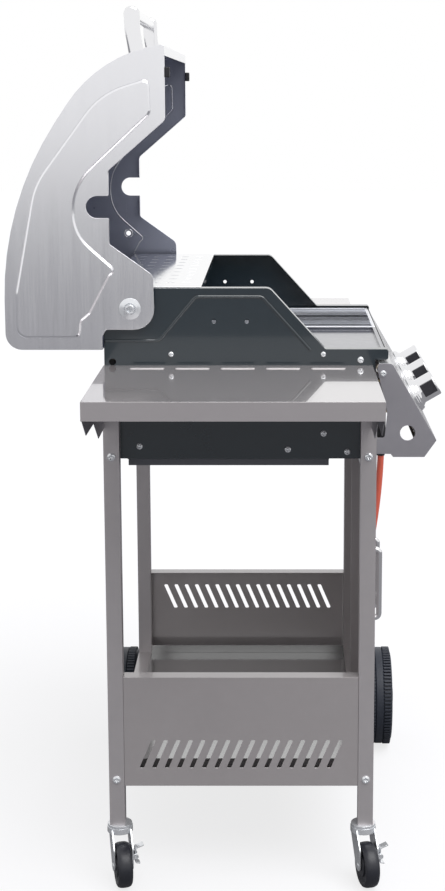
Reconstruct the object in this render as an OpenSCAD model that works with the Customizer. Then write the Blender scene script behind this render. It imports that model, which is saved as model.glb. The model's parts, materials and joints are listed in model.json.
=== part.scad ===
/* [Cart] */
// Width of the cart over the outer faces of its legs
cart_w = 622; // [580:2:660]
// Depth of the cart over the outer faces of its legs
cart_d = 433; // [420:1:460]
// Side of the square leg tube
leg_t = 25; // [22:1:30]
// Wall of the leg tube
leg_wall = 1.5; // [1:0.1:2]
// Height of the side shelves above the floor
top_h = 863; // [855:1:867]
// Thickness of the folded sheet metal
sheet = 1.2; // [1:0.1:1.5]
// Height of the bottom shelf above the floor
floor_h = 190; // [188:1:200]
// Height of a side panel
panel_h = 186; // [170:1:200]
// Number of vent slots in a side panel
slot_count = 16; // [6:1:17]

/* [Firebox] */
// Height of the firebox's rear rim above the side shelves
rim_up = 123; // [112:1:132]
// Height of its front rim above the side shelves
nose_up = 26; // [22:1:29]
// Depth of the firebox below the side shelves
box_down = 151; // [147:1:157]
// Length of the high rim, from the back to the slope
rim_len = 262; // [255:1:270]
// Run of the sloping rim
slope_run = 88; // [80:1:95]
// How far the front nose stands out from the firebox's front wall
nose_out = 21; // [17:1:24]
// Number of burners, valves and knobs
burner_count = 3; // [2:1:3]
// Spacing of the burners
burner_pitch = 150; // [140:1:155]
// Outer diameter of a burner tube
burner_d = 25; // [22:1:28]

/* [Hood] */
// Gap between the firebox and each side of the hood
hood_gap = 14; // [12:0.5:18]
// Depth of the hood pivot below the firebox's rear rim
pivot_down = 31; // [28:1:36]
// Distance from the pivot to the top of the closed hood
hood_rise = 196; // [180:1:210]
// Diameter of the hinge bolt
hinge_d = 10; // [8:1:12]
// Distance between the outer faces of the handle posts
handle_w = 404; // [340:2:440]

/* [Side shelves] */
// Width of a side shelf, from the firebox to its outer edge
shelf_w = 317; // [280:1:340]
// Height of the folded edge of a side shelf
skirt_h = 28; // [24:1:30]

/* [Wheels] */
// Diameter of a large wheel
wheel_d = 192; // [186:1:194]
// Width of a large wheel
wheel_w = 50; // [40:1:52]
// Diameter of the axle
axle_d = 10; // [8:1:12]
// Overall height of a caster
caster_h = 100; // [98:1:104]
// Diameter of a caster wheel
caster_d = 74; // [70:1:75]
// Width of a caster wheel
caster_w = 25; // [22:1:26]

/* [Controls] */
// Diameter of a knob
knob_d = 42; // [36:1:44]
// Length of a knob
knob_len = 37; // [30:1:40]
// Outer diameter of a bezel
bezel_d = 60; // [54:1:64]
// Travel of a pushed knob
push_travel = 3; // [2:0.5:3.5]

/* [Doors] */
// Length of a door handle between its feet
door_grip = 126; // [100:1:150]
// Diameter of a door handle bar
grip_d = 10; // [8:1:12]

/* [Hidden] */

// Shared fits and facet counts
cut = 1;
run_fit = 0.05;
rest_gap = 0.3;
fine = 48;
arc_steps = 8;

// Cart frame: the origin lies on the floor under the middle of the whole grill
cart_mid = -17;
leg_x = cart_w / 2;
leg_in = leg_x - leg_t;
yf = cart_mid - cart_d / 2;
yr = cart_mid + cart_d / 2;
leg_mid = leg_t / 2;
skirt_z = top_h - skirt_h;
leg_drop = 18;
rail_h = 22;
rail_z = floor_h - rail_h;
top_rail_h = 10;
flange = 25;
shelf_rim = 15;

// Firebox profile, in the Y and Z plane
back_in = 1.5;
front_in = 2.5;
corner_r = 4;
rim_r = 14;
foot_r = 6;
rim_high = top_h + rim_up;
rim_low = top_h + nose_up;
box_floor = top_h - box_down;
box_back = yr - back_in;
box_front = yf + front_in;
nose_y = box_front - nose_out;
nose_h = 17;
nose_z = rim_low - nose_h;
slope_top = box_back - rim_len;
slope_bottom = slope_top - slope_run;
box_flange = 20;
grate_z = nose_z + 2 * sheet;
grate_t = 11;
ledge = 12;
heat_up = 100;
heat_z = box_floor + heat_up;
bead_w = 5;
bead_h = 1.2;
bead_drop = 11;
bead_low = 81;
bead_first = 86;
bead_second = 144;
bead_in = 11;
bead_out = 21;
bead_r = 14;
vent_d = 11;
vent_in = 14.5;
spit_gap = 52;
spit_hole_d = 6.4;
spit_drop = 53;
grill_in = 15;
grill_y = cart_mid + grill_in;

// Hood profile, closed, from the pivot
pivot_in = 43;
pivot_y = box_back - pivot_in;
pivot_h = rim_high - pivot_down;
hood_w = 2 * (leg_in + hood_gap);
hood_reach = pivot_y - nose_y;
lid_gap = 8;
lip_share = 0.2826;
slope_share = 0.5283;
notch_share = 0.3907;
ear_share = 0.2506;
crown_share = 0.4005;
lip_z = rim_low + lid_gap - pivot_h;
lip_run = hood_reach * lip_share;
lip_r = 4;
plate_r_small = 8;
edge_z = pivot_down;
lip_flange = 17;
hood_flange = 9;
slope_end = hood_reach * slope_share;
notch_y = hood_reach * notch_share;
notch_w = 34;
notch_deep = 35;
ear_front = 53;
ear_edge = hood_reach * ear_share;
ear_low = 39;
ear_back = 33;
ear_step = 11;
ear_drop = 6;
ear_rise = 2;
hood_back = 65;
lid_rest_gap = 1;
back_edge = pivot_in + lid_rest_gap;
back_r = 26;
crown_run = hood_reach * crown_share;
crown_bend_share = 0.53796;
brow_bend_share = 0.94272;
brow_run = 13.5;
brow_share = 0.2092;
brow_z = hood_rise * brow_share;
lid_open = 90;
raise = 2.5;
washer_d = 34;
washer_t = 1.5;
bolt_head_d = 14.6;
bolt_head_t = 4.2;
nut_t = 5;
nut_share = 0.8;
spacer_share = 0.9;
post_t = 20;
post_r = 12.3;
post_root = 40;
post_flare = 11;
post_taper = 12;
bar_r = 10;
bar_out = 50;
grip_reach = hood_reach + bar_out;
grip_z = 0;
sight_d = 9;
sight_at = [-70, 54];
pad_l = 16;
pad_w = 14;
pad_in = 4;

// Control panel: its slanted face runs from the top corner to the front corner
panel_up = 7;
face_in = 23;
face_out = 94.5;
face_drop = 123;
chin_in = 75.5;
chin_drop = 150;
chin_end = 70;
face_r = 8;
fold_r = 2;
panel_top = top_h + panel_up;
face_top = [yf - face_in, panel_top];
face_low = [yf - face_out, panel_top - face_drop];
chin = [yf - chin_in, panel_top - chin_drop];
chin_back = [yf - chin_end, chin.y];
face_dir = (face_low - face_top) / norm(face_low - face_top);
face_turn = atan2(-face_dir.y, -face_dir.x);
knob_down = 92;
knob_at = face_top + face_dir * knob_down;
pipe_in = 48.5;
pipe_drop = 111;
pipe_at = [yf - pipe_in, panel_top - pipe_drop];
pipe_r = 11;
elbow_r = 9;
elbow_drop = 17;
pipe_hole_d = 24;
pipe_start = 195;
stem_r = 4;
stem_top = 17;
stem_in = 11;
valve_r = 11;
valve_end = 42;
valve_top = 3;
nozzle_r = 4;
nozzle_in = 8;
nozzle_share = 0.7;
bezel_t = 3;
burner_up = 53;
burner_z = box_floor + burner_up;
burner_nose = 12;
burner_gap = 30;
face_hole_d = 26;

// Doors
door_gap = 2;
door_t = 25;
hinge_in = 15;
hinge_back = 6;
pin_r = 4;
pin_in = 10;
collar_r = 6.5;
door_foot = 6;
door_low = floor_h + door_foot;
door_high = box_floor - top_rail_h - door_gap;
grip_x = 34;
grip_out = 24;
grip_up = 170;
grip_low = door_low + grip_up;

// Side shelf
shelf_in = leg_in;
shelf_out = shelf_in + shelf_w;
shelf_start = 6;
shelf_y0 = yf + shelf_start;
shelf_y1 = yr;
rib_l = 54;
rib_w = 7;
rib_h = 1.5;
rib_pitch = 71;
rib_count = 5;
rib_in = 30;

// Wheels and casters
axle_z = wheel_d / 2;
axle_x = leg_x - leg_mid;
wheel_gap_rear = 4;
wheel_gap_front = 19.5;
hub_r = 24;
cap_t = 5;
caster_x = -(leg_x - leg_mid);
caster_in = 3;
caster_yaw = 194;
trail = 26;
fork_gap = 1.5;
fork_t = 2.5;
king_r = 5;
plate_r = 20;
plate_t = 4;
race_h = 10;
fork_r = 9;
fork_bend_r = 10;
fork_edge_r = 8;
fork_knee_z = 66;
fork_share = 0.7;
neck_share = 0.8;
caster_axle_r = 4;
brake_z = 52;
brake_out = 4;
brake_pin_r = 2;
brake_half = 6.5;
brake_t = 2;
brake_top_z = 66;
brake_top_out = 17;
brake_rise = 5;
brake_low_z = 40;
brake_low_out = 11;
brake_r = 3;
lug_t = 2;
lug_r = 4.5;

// Gas hose: points chosen by hand, outwards from the leg, backwards from its front, and up.
// They lead from the manifold elbow to the regulator on the floor.
hose_d = 13;
hose_sides = 12;
hose_low = 7;
hose_points = [
    [15, -48.5, 742], [15, -48.5, 706], [16, -48.5, 670], [17, -48.5, 635], [18, -48.5, 600],
    [19, -47.5, 565], [20, -45.5, 530], [21, -42.5, 495], [22, -38.5, 460], [23, -33.5, 425],
    [24, -27.5, 390], [25, -21.5, 355], [26, -15.5, 320], [26, -9.5, 285], [26, -4.5, 250],
    [26, -0.5, 215], [26, 2.5, 180], [26, 4.5, 150], [25, 5.5, 120], [25, 8.5, 90],
    [25, 18.5, 56], [24, 36.5, 29], [23, 61.5, 12], [22, 92.5, 7], [21, 126.5, 7],
    [19, 161.5, 7], [17, 196.5, 7], [15, 231.5, 7], [13, 266.5, 7], [11, 301.5, 7]];
hose_rise_share = (pipe_at.y - elbow_drop - hose_low) / (hose_points[0].z - hose_low);
hose_route = [for (p = hose_points) [leg_x + p.x, yf + p.y, hose_low + (p.z - hose_low) * hose_rise_share]];

// Screws
leg_screw_r = 6.9;
side_screw_r = 5.2;
shank_r = 3;
shank_fit = 0.2;
head_t = 3.4;

// Unit vector along v
function unit(v) = v / norm(v);
// Left normal of a plane vector
function left(v) = [-v.y, v.x];
// Points of the fillet of radius r at corner b, between a and c
function fillet(a, b, c, r) =
    let(u = unit(a - b), v = unit(c - b), half = acos(u * v) / 2,
        m = b + unit(u + v) * r / sin(half),
        p = b + u * r / tan(half) - m, q = b + v * r / tan(half) - m,
        s = atan2(p.y, p.x), turn = atan2(p.x * q.y - p.y * q.x, p * q))
    [for (i = [0:arc_steps]) m + r * [cos(s + turn * i / arc_steps), sin(s + turn * i / arc_steps)]];
// Radius of the fillet at b that starts at the distance d from it
function bend_r(a, b, c, d) = let(u = unit(a - b), v = unit(c - b)) d * tan(acos(u * v) / 2);
function flat(c) = [c.x, c.y];
// Closed outline through corners [a, b, radius]
function outline(c) = let(n = len(c)) [for (i = [0:n - 1])
    each c[i].z > 0
        ? fillet(flat(c[(i + n - 1) % n]), flat(c[i]), flat(c[(i + 1) % n]), c[i].z)
        : [flat(c[i])]];
// Open line through corners, rounded between its ends
function line(c) = let(n = len(c)) [for (i = [0:n - 1])
    each (i > 0 && i < n - 1 && c[i].z > 0)
        ? fillet(flat(c[i - 1]), flat(c[i]), flat(c[i + 1]), c[i].z)
        : [flat(c[i])]];
// Corner b moved by d to the left of its two edges, with its radius kept concentric
function shifted(a, b, c, r, d) =
    let(u = unit(b - a), v = unit(c - b), m = left(u) + left(v), k = d / (1 + left(u) * left(v)),
        bend = u.x * v.y - u.y * v.x)
    [b.x + m.x * k, b.y + m.y * k, r <= 0 ? 0 : max(0, bend > 0 ? r - d : r + d)];
// Closed corners moved inwards by d
function inset(c, d) = let(n = len(c)) [for (i = [0:n - 1])
    shifted(flat(c[(i + n - 1) % n]), flat(c[i]), flat(c[(i + 1) % n]), c[i].z, d)];
// Open corners moved by d to the left
function beside(c, d) = let(n = len(c)) [for (i = [0:n - 1])
    i == 0 ? concat(flat(c[0]) + left(unit(flat(c[1]) - flat(c[0]))) * d, [0])
    : i == n - 1 ? concat(flat(c[i]) + left(unit(flat(c[i]) - flat(c[i - 1]))) * d, [0])
    : shifted(flat(c[i - 1]), flat(c[i]), flat(c[i + 1]), c[i].z, d)];
function reversed(p) = [for (i = [len(p) - 1:-1:0]) p[i]];
// Band of thickness t to the left of the open corners c
function band(c, t) = concat(line(c), reversed(line(beside(c, t))));

// Solid of an outline in the Y and Z plane, from x over the width t
module yz(x, t) translate([x, 0, 0]) rotate([90, 0, 90]) linear_extrude(t) children();
// Solid of an outline in the X and Z plane, from y over the depth t
module xz(y, t) translate([0, y + t, 0]) rotate([90, 0, 0]) linear_extrude(t) children();
// The same on the right and, mirrored, on the left
module both() {
    children();
    mirror([1, 0, 0]) children();
}
module rod_x(x0, x1, y, z, r) translate([x0, y, z]) rotate([0, 90, 0])
    cylinder(h = x1 - x0, r = r, $fn = fine);
module rod_y(x, y0, y1, z, r) translate([x, y1, z]) rotate([90, 0, 0])
    cylinder(h = y1 - y0, r = r, $fn = fine);
module rod_z(x, y, z0, z1, r) translate([x, y, z0]) cylinder(h = z1 - z0, r = r, $fn = fine);
module block(x0, x1, y0, y1, z0, z1) translate([x0, y0, z0]) cube([x1 - x0, y1 - y0, z1 - z0]);

// Legs
module leg(x0, y0, z0) difference() {
    block(x0, x0 + leg_t, y0, y0 + leg_t, z0, skirt_z);
    block(x0 + leg_wall, x0 + leg_t - leg_wall, y0 + leg_wall, y0 + leg_t - leg_wall,
        z0 - cut, skirt_z + cut);
    for (s = leg_screw_places) if (s.y > y0 && s.y < y0 + leg_t)
        rod_x(x0 - cut, x0 + leg_t + cut, s.y, s.z, shank_r + shank_fit);
    if (x0 > 0) rod_y(axle_x, y0 - cut, y0 + leg_t + cut, axle_z, axle_d / 2 + run_fit);
}
leg_screw_up = 8;
leg_screw_places = [for (y = [yf + leg_mid, yr - leg_mid],
    z = [rail_z + rail_h / 2, box_floor + leg_screw_up]) [0, y, z]];
module leg_front_left() color([0.6, 0.57, 0.56]) leg(-leg_x, yf, caster_h);
module leg_rear_left() color([0.6, 0.57, 0.56]) leg(-leg_x, yr - leg_t, caster_h);
module leg_front_right() color([0.6, 0.57, 0.56]) leg(leg_in, yf, caster_h - leg_drop);
module leg_rear_right() color([0.6, 0.57, 0.56]) leg(leg_in, yr - leg_t, caster_h - leg_drop);

// Side panel: a pan of folded sheet with leaning vent slots
slot_w = 7.3;
slot_rise = 48;
slot_lean = 20.3;
slot_margin = 24.4;
slot_low = 31;
panel_in = 1;
panel_y0 = yf + leg_t + rest_gap;
panel_y1 = yr - leg_t - rest_gap;
panel_out = leg_x - panel_in;
slot_pitch = (panel_y1 - panel_y0 - 2 * slot_margin - slot_lean - slot_w) / (slot_count - 1);
module vent(y, z) translate([y, z]) polygon(outline([
    [-slot_w / 2, 0, slot_w / 4], [slot_w / 2, 0, slot_w / 4],
    [slot_w / 2 - slot_lean, slot_rise, slot_w / 4], [-slot_w / 2 - slot_lean, slot_rise, slot_w / 4]]));
module side_pan() {
    vents_y = (panel_y0 + panel_y1 + slot_lean + (slot_count - 1) * slot_pitch) / 2;
    difference() {
        block(-panel_out, -panel_out + flange, panel_y0, panel_y1, rail_z, rail_z + panel_h);
        block(-panel_out + sheet, -panel_out + flange + cut, panel_y0 + sheet, panel_y1 - sheet,
            rail_z + sheet, rail_z + panel_h - sheet);
        yz(-panel_out - cut, sheet + 2 * cut)
            for (i = [0:slot_count - 1]) vent(vents_y - i * slot_pitch, rail_z + slot_low);
    }
}
module side_panel_left() color([0.56, 0.53, 0.53]) side_pan();
module side_panel_right() color([0.45, 0.43, 0.43])
    translate([0, 0, 2 * rail_z + panel_h]) rotate([0, 180, 0]) side_pan();

// Bottom shelf: a tray with its side rims turned up, between the cross rails
module bottom_shelf() color([0.8, 0.79, 0.78]) {
    shelf_x = panel_out - flange - rest_gap;
    difference() {
        block(-shelf_x, shelf_x, yf + leg_t, yr - leg_t, floor_h - rail_h / 2, floor_h);
        block(-shelf_x - cut, shelf_x + cut, yf + leg_t + sheet, yr - leg_t - sheet,
            floor_h - rail_h / 2 - cut, floor_h - sheet);
    }
    both() block(shelf_x - sheet, shelf_x, yf + leg_t, yr - leg_t, floor_h, floor_h + shelf_rim);
}

// Cross rails between the legs: two at the bottom, one above the doors
module rail(y0, z0, h) difference() {
    block(-leg_in, leg_in, y0, y0 + leg_t, z0, z0 + h);
    block(-leg_in - cut, leg_in + cut, y0 + sheet, y0 + leg_t - sheet, z0 + sheet, z0 + h - sheet);
    for (x = [-1, 1]) rod_z(x * (leg_in - hinge_in), yf + hinge_back, z0 - cut, z0 + h + cut, pin_r);
}
module cross_rails() color([0.56, 0.53, 0.53]) {
    rail(yf, rail_z, rail_h);
    rail(yr - leg_t, rail_z, rail_h);
    rail(yf, box_floor - top_rail_h, top_rail_h);
}

// Doors: pans of folded sheet that turn on pins in the rails
hinge_x = leg_in - hinge_in;
module door() difference() {
    block(door_gap / 2, leg_in - door_gap, yf, yf + door_t, door_low, door_high);
    block(door_gap / 2 + sheet, leg_in - door_gap - sheet, yf + sheet, yf + door_t + cut,
        door_low + sheet, door_high - sheet);
    rod_z(hinge_x, yf + hinge_back, door_low - cut, door_high + cut, pin_r + run_fit);
}
module door_right() color([0.45, 0.43, 0.43]) door();
module door_left() color([0.45, 0.43, 0.43]) mirror([1, 0, 0]) door();
module door_pins() color("silver") both() {
    rod_z(hinge_x, yf + hinge_back, rail_z + sheet, door_low + pin_in, pin_r);
    difference() {
        rod_z(hinge_x, yf + hinge_back, floor_h, door_low - rest_gap, collar_r);
        rod_z(hinge_x, yf + hinge_back, floor_h - cut, door_low + cut, pin_r);
    }
    rod_z(hinge_x, yf + hinge_back, door_high - pin_in, box_floor - sheet, pin_r);
}
module door_grip_bar() {
    r = grip_d / 2;
    for (z = [grip_low, grip_low + door_grip]) {
        rod_y(grip_x, yf - grip_out, yf, z, r);
        translate([grip_x, yf - grip_out, z]) sphere(r = r, $fn = 24);
    }
    rod_z(grip_x, yf - grip_out, grip_low, grip_low + door_grip, r);
}
module door_handle_right() color("silver") door_grip_bar();
module door_handle_left() color("silver") mirror([1, 0, 0]) door_grip_bar();

// Axle with its spacer, and the two large wheels with their caps
wheel_y0 = yf - wheel_gap_front;
wheel_y1 = yr + wheel_gap_rear;
module axle() color("silver") {
    rod_y(axle_x, wheel_y0 - wheel_w - cap_t / 2, wheel_y1 + wheel_w + cap_t / 2, axle_z, axle_d / 2);
    difference() {
        rod_y(axle_x, wheel_y0 + rest_gap, yf, axle_z, axle_d);
        rod_y(axle_x, wheel_y0 - cut, yf + cut, axle_z, axle_d / 2);
    }
}
module big_wheel(y0, front) {
    r = wheel_d / 2;
    tread = wheel_w / 4;
    bore_r = axle_d / 2 + run_fit;
    cap_y = front ? y0 - cap_t : y0 + wheel_w;
    bore_y = front ? cap_y + cap_t / 2 : cap_y - cap_t;
    translate([axle_x, y0, axle_z]) rotate([-90, 0, 0]) rotate_extrude($fn = 2 * fine) polygon([
        [bore_r, 0], [hub_r, 0], [hub_r, tread], [r - tread, tread / 2], [r - tread / 2, 0],
        [r, tread / 2], [r, wheel_w - tread / 2], [r - tread / 2, wheel_w],
        [r - tread, wheel_w - tread / 2], [hub_r, wheel_w - tread], [hub_r, wheel_w], [bore_r, wheel_w]]);
    difference() {
        rod_y(axle_x, cap_y, cap_y + cap_t, axle_z, hub_r - cap_t);
        rod_y(axle_x, bore_y, bore_y + cap_t * 3 / 2, axle_z, axle_d / 2 + rest_gap);
    }
}
module wheel_front() color([0.15, 0.15, 0.17]) big_wheel(wheel_y0 - wheel_w, true);
module wheel_rear() color([0.15, 0.15, 0.17]) big_wheel(wheel_y1, false);

// Casters, in their own frame: X runs to the wheel, Y along its axle
caster_y_front = yf + leg_mid + caster_in;
caster_y_rear = yr - leg_mid - caster_in;
module at_caster(y) translate([caster_x, y, 0]) rotate([0, 0, caster_yaw]) children();
cheek = caster_w / 2 + fork_gap;
crown_z = caster_h - plate_t - rest_gap;
bridge_z = crown_z - race_h;
fork_out = cheek + fork_t;
module caster_plates() color("silver") for (y = [caster_y_front, caster_y_rear]) at_caster(y) {
    rod_z(0, 0, caster_h - plate_t, caster_h, plate_r);
    rod_z(0, 0, caster_h, caster_h + leg_t, leg_mid - leg_wall - caster_in - rest_gap);
    rod_z(0, 0, bridge_z - 2 * cut, caster_h - plate_t, king_r);
    rod_z(0, 0, bridge_z - 3 * cut, bridge_z - cut, 2 * king_r);
}
module caster_fork() {
    axle_h = caster_d / 2;
    fork_corners = [
        [-plate_r * fork_share, crown_z - fork_t, 0],
        [-plate_r * neck_share, bridge_z - plate_t, fork_bend_r],
        [trail - fork_r, axle_h - fork_r, fork_r], [trail + fork_r, axle_h - fork_r, fork_r],
        [trail + fork_r + cut, fork_knee_z, fork_edge_r], [plate_r * neck_share, crown_z - fork_t, 0]];
    difference() {
        union() {
            rod_z(0, 0, bridge_z, crown_z, plate_r + cut);
            for (s = [-1, 1]) translate([0, s > 0 ? fork_out : -cheek, 0]) rotate([90, 0, 0])
                linear_extrude(fork_t) polygon(outline(fork_corners));
        }
        rod_z(0, 0, bridge_z - cut, crown_z + cut, king_r + run_fit);
    }
    rod_y(trail, -fork_out - cut, fork_out + cut, axle_h, caster_axle_r);
    for (x = [trail - brake_half - rest_gap - lug_t, trail + brake_half + rest_gap]) difference() {
        union() {
            rod_x(x, x + lug_t, fork_out + brake_out, brake_z, lug_r);
            block(x, x + lug_t, fork_out - cut, fork_out + brake_out, brake_z - lug_r, brake_z + lug_r);
        }
        rod_x(x - cut, x + lug_t + cut, fork_out + brake_out, brake_z, brake_pin_r + run_fit);
    }
}
// Wheel profile, in shares of its radius and width
tread_shares = [[0.5, 0], [0.5, 0.1], [0.757, 0.1], [0.811, 0], [0.919, 0.04], [1, 0.2], [1, 0.8],
    [0.919, 0.96], [0.811, 1], [0.757, 0.9], [0.5, 0.9], [0.5, 1]];
module caster_wheel() translate([trail, -caster_w / 2, caster_d / 2]) rotate([-90, 0, 0])
    rotate_extrude($fn = 2 * fine) polygon(concat([[caster_axle_r + run_fit, 0]],
        [for (s = tread_shares) [s.x * caster_d / 2, s.y * caster_w]],
        [[caster_axle_r + run_fit, caster_w]]));
// Brake: a bent plate with an upper and a lower tab, rocking on a pin in two lugs of the fork
module caster_brake() {
    spine = fork_out + brake_out - brake_t / 2;
    yz(trail - brake_half, 2 * brake_half) polygon(band([
        [fork_out + brake_top_out, brake_top_z + brake_rise, 0], [spine, brake_top_z, brake_r],
        [spine, brake_low_z, brake_r], [fork_out + brake_low_out, brake_low_z - brake_t, 0]], brake_t));
    rod_x(trail - brake_half - rest_gap - lug_t, trail + brake_half + rest_gap + lug_t,
        fork_out + brake_out, brake_z, brake_pin_r);
}
module caster_fork_front() color("silver") at_caster(caster_y_front) caster_fork();
module caster_fork_rear() color("silver") at_caster(caster_y_rear) caster_fork();
module caster_wheel_front() color([0.12, 0.12, 0.13]) at_caster(caster_y_front) caster_wheel();
module caster_wheel_rear() color([0.12, 0.12, 0.13]) at_caster(caster_y_rear) caster_wheel();
module caster_brake_front() color("silver") at_caster(caster_y_front) caster_brake();
module caster_brake_rear() color("silver") at_caster(caster_y_rear) caster_brake();

// Firebox sides: folded pans whose top rim steps down in a slope to the front
box_corners = [[box_back, box_floor, 0], [box_back, rim_high, corner_r], [slope_top, rim_high, rim_r],
    [slope_bottom, rim_low, foot_r], [nose_y, rim_low, corner_r], [nose_y, nose_z, corner_r],
    [box_front, nose_z, 0], [box_front, box_floor, 0]];
bead_corners = [[box_back, rim_high - bead_low, 0], [box_back - bead_first, rim_high - bead_low, bead_r],
    [box_back - bead_second, rim_high - bead_drop, bead_r],
    [slope_top + bead_in, rim_high - bead_drop, bead_r], [slope_bottom + bead_out, rim_low, 0]];
box_x = leg_in - sheet;
module side_screw_holes(x0, x1) for (s = side_screw_places)
    rod_x(x0, x1, s.y, s.z, shank_r + shank_fit);
module firebox_side() difference() {
    union() {
        yz(box_x, sheet) polygon(outline(box_corners));
        yz(box_x - box_flange, box_flange + sheet / 2) difference() {
            polygon(outline(box_corners));
            polygon(outline(inset(box_corners, sheet)));
        }
        yz(leg_in - sheet / 2, sheet / 2 + bead_h) intersection() {
            polygon(band(bead_corners, bead_w));
            polygon(outline(box_corners));
        }
    }
    rod_x(box_x - cut, leg_in + bead_h + cut, pivot_y, pivot_h, hinge_d / 2 + shank_fit);
    for (y = [-1, 1]) rod_x(box_x - cut, leg_in + bead_h + cut, grill_y + y * spit_gap / 2,
        rim_high - spit_drop, spit_hole_d / 2);
    rod_x(box_x - cut, leg_in + cut, yr - vent_in, top_h + vent_d / 2, vent_d / 2);
    for (s = leg_screw_places) rod_x(box_x - cut, leg_in + cut, s.y, s.z, shank_r + shank_fit);
    side_screw_holes(box_x - cut, leg_in + cut);
}
module firebox_right() color([0.2, 0.24, 0.28]) firebox_side();
module firebox_left() color([0.2, 0.24, 0.28]) mirror([1, 0, 0]) firebox_side();

// Front wall with the step that carries the grates, and the ledge for the heat plates
module burner_holes(y0, y1) for (x = burner_places)
    rod_y(x, y0, y1, burner_z, burner_d / 2 + rest_gap);
burner_places = [for (i = [0:burner_count - 1]) (i - (burner_count - 1) / 2) * burner_pitch];
module firebox_front() color([0.2, 0.24, 0.28]) difference() {
    union() {
        yz(-box_x, 2 * box_x) polygon(band([[box_front + sheet, box_floor + sheet, 0],
            [box_front + sheet, nose_z + sheet, 0], [nose_y + sheet, nose_z + sheet, corner_r - sheet],
            [nose_y + sheet, rim_low - corner_r, 0]], -sheet));
        block(-box_x, box_x, box_front + sheet * 3 / 2, box_front + ledge, heat_z - sheet, heat_z);
    }
    burner_holes(box_front - cut, box_front + 3 * sheet);
}
wall_y = box_back - 2 * sheet;
module firebox_back() color([0.2, 0.24, 0.28]) {
    block(-box_x, box_x, wall_y, wall_y + sheet, box_floor + sheet, rim_high - corner_r);
    for (z = [heat_z, grate_z]) block(-box_x, box_x, wall_y - ledge, wall_y, z - sheet, z);
}
// Floor with its drain, and the runners of the grease tray folded under it
tray_in = 76;
tray_x = leg_in - tray_in;
tray_lip = 12;
tray_short = 103;
tray_d = cart_d - tray_short;
tray_h = 16;
tray_back = 29;
tray_y1 = box_back - tray_back;
runner_h = 16;
drain_r = 45;
module firebox_floor() color([0.22, 0.25, 0.28]) {
    floor_z = box_floor + sheet;
    difference() {
        block(-box_x, box_x, box_front + 2 * sheet, wall_y, floor_z, floor_z + sheet);
        rod_z(0, grill_y, floor_z - cut, floor_z + 2 * sheet, drain_r);
    }
    both() {
        block(tray_x + tray_lip + cut, tray_x + tray_lip + cut + sheet, tray_y1 - tray_d, tray_y1,
            floor_z - runner_h, floor_z);
        block(tray_x + 3 * cut, tray_x + tray_lip + cut, tray_y1 - tray_d, tray_y1,
            floor_z - runner_h, floor_z - runner_h + sheet);
    }
}
module grease_tray() color([0.3, 0.3, 0.32]) {
    tray_top = box_floor + sheet - runner_h + 2 * sheet + rest_gap;
    y0 = tray_y1 - tray_d;
    difference() {
        block(-tray_x, tray_x, y0, tray_y1, tray_top - tray_h, tray_top);
        block(-tray_x + sheet, tray_x - sheet, y0 + sheet, tray_y1 - sheet,
            tray_top - tray_h + sheet, tray_top + cut);
    }
    both() block(tray_x, tray_x + tray_lip, y0, tray_y1, tray_top - sheet, tray_top);
    block(-tray_x / 3, tray_x / 3, tray_y1, tray_y1 + tray_lip, tray_top - sheet, tray_top);
    block(-tray_x / 3, tray_x / 3, tray_y1 + tray_lip - sheet, tray_y1 + tray_lip,
        tray_top - tray_h, tray_top);
}

// Burners: closed tubes on a stub at the back wall
burner_wall = 1.2;
stub_r = 4;
module burners() color([0.7, 0.7, 0.72]) for (x = burner_places) {
    difference() {
        rod_y(x, yf - burner_nose, wall_y - burner_gap, burner_z, burner_d / 2);
        rod_y(x, yf - burner_nose - cut, wall_y - burner_gap - burner_wall, burner_z,
            burner_d / 2 - burner_wall);
    }
    rod_y(x, wall_y - burner_gap, wall_y, burner_z, stub_r);
}
// Heat plates: folded roofs over the burners
plate_half = 55;
roof_h = 22;
module heat_plates() color([0.35, 0.36, 0.38]) for (x = burner_places)
    xz(box_front + 2 * sheet, wall_y - box_front - 2 * sheet) translate([x, 0])
        polygon(band([[plate_half, heat_z, 0], [0, heat_z + roof_h, 0], [-plate_half, heat_z, 0]], -sheet));

// Cooking grate on the right, griddle plate on the left
grate_fit = 4;
grate_half = 1;
grate_x = leg_in - box_flange - grate_fit;
grate_y0 = nose_y + 3 * sheet;
grate_y1 = wall_y - sheet;
bar_pitch = 16;
bar_w = 6;
bar_count = floor((grate_x - grate_half - 2 * bar_w) / bar_pitch);
module cooking_grate() color([0.5, 0.51, 0.53]) {
    difference() {
        block(grate_half, grate_x, grate_y0, grate_y1, grate_z, grate_z + grate_t);
        block(grate_half + bar_w, grate_x - bar_w, grate_y0 + bar_w, grate_y1 - bar_w,
            grate_z - cut, grate_z + grate_t + cut);
    }
    for (i = [1:bar_count]) translate([grate_half + i * bar_pitch, 0, 0])
        block(0, bar_w, grate_y0 + bar_w / 2, grate_y1 - bar_w / 2, grate_z + grate_t / 3, grate_z + grate_t);
    for (y = [1, 2]) translate([0, grate_y0 + (grate_y1 - grate_y0) * y / 3, 0])
        block(grate_half + bar_w / 2, grate_x - bar_w / 2, 0, bar_w, grate_z, grate_z + grate_t / 2);
}
module griddle_plate() color([0.25, 0.27, 0.3]) difference() {
    block(-grate_x, -grate_half, grate_y0, grate_y1, grate_z, grate_z + grate_t);
    block(-grate_x + bar_w, -grate_half - bar_w, grate_y0 + bar_w, grate_y1 - bar_w,
        grate_z + grate_t / 2, grate_z + grate_t + cut);
    block(-grate_x - cut, cut, grate_y0 + ledge + bar_w, grate_y1 - 2 * ledge,
        grate_z - cut, grate_z + grate_t / 4);
}
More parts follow.
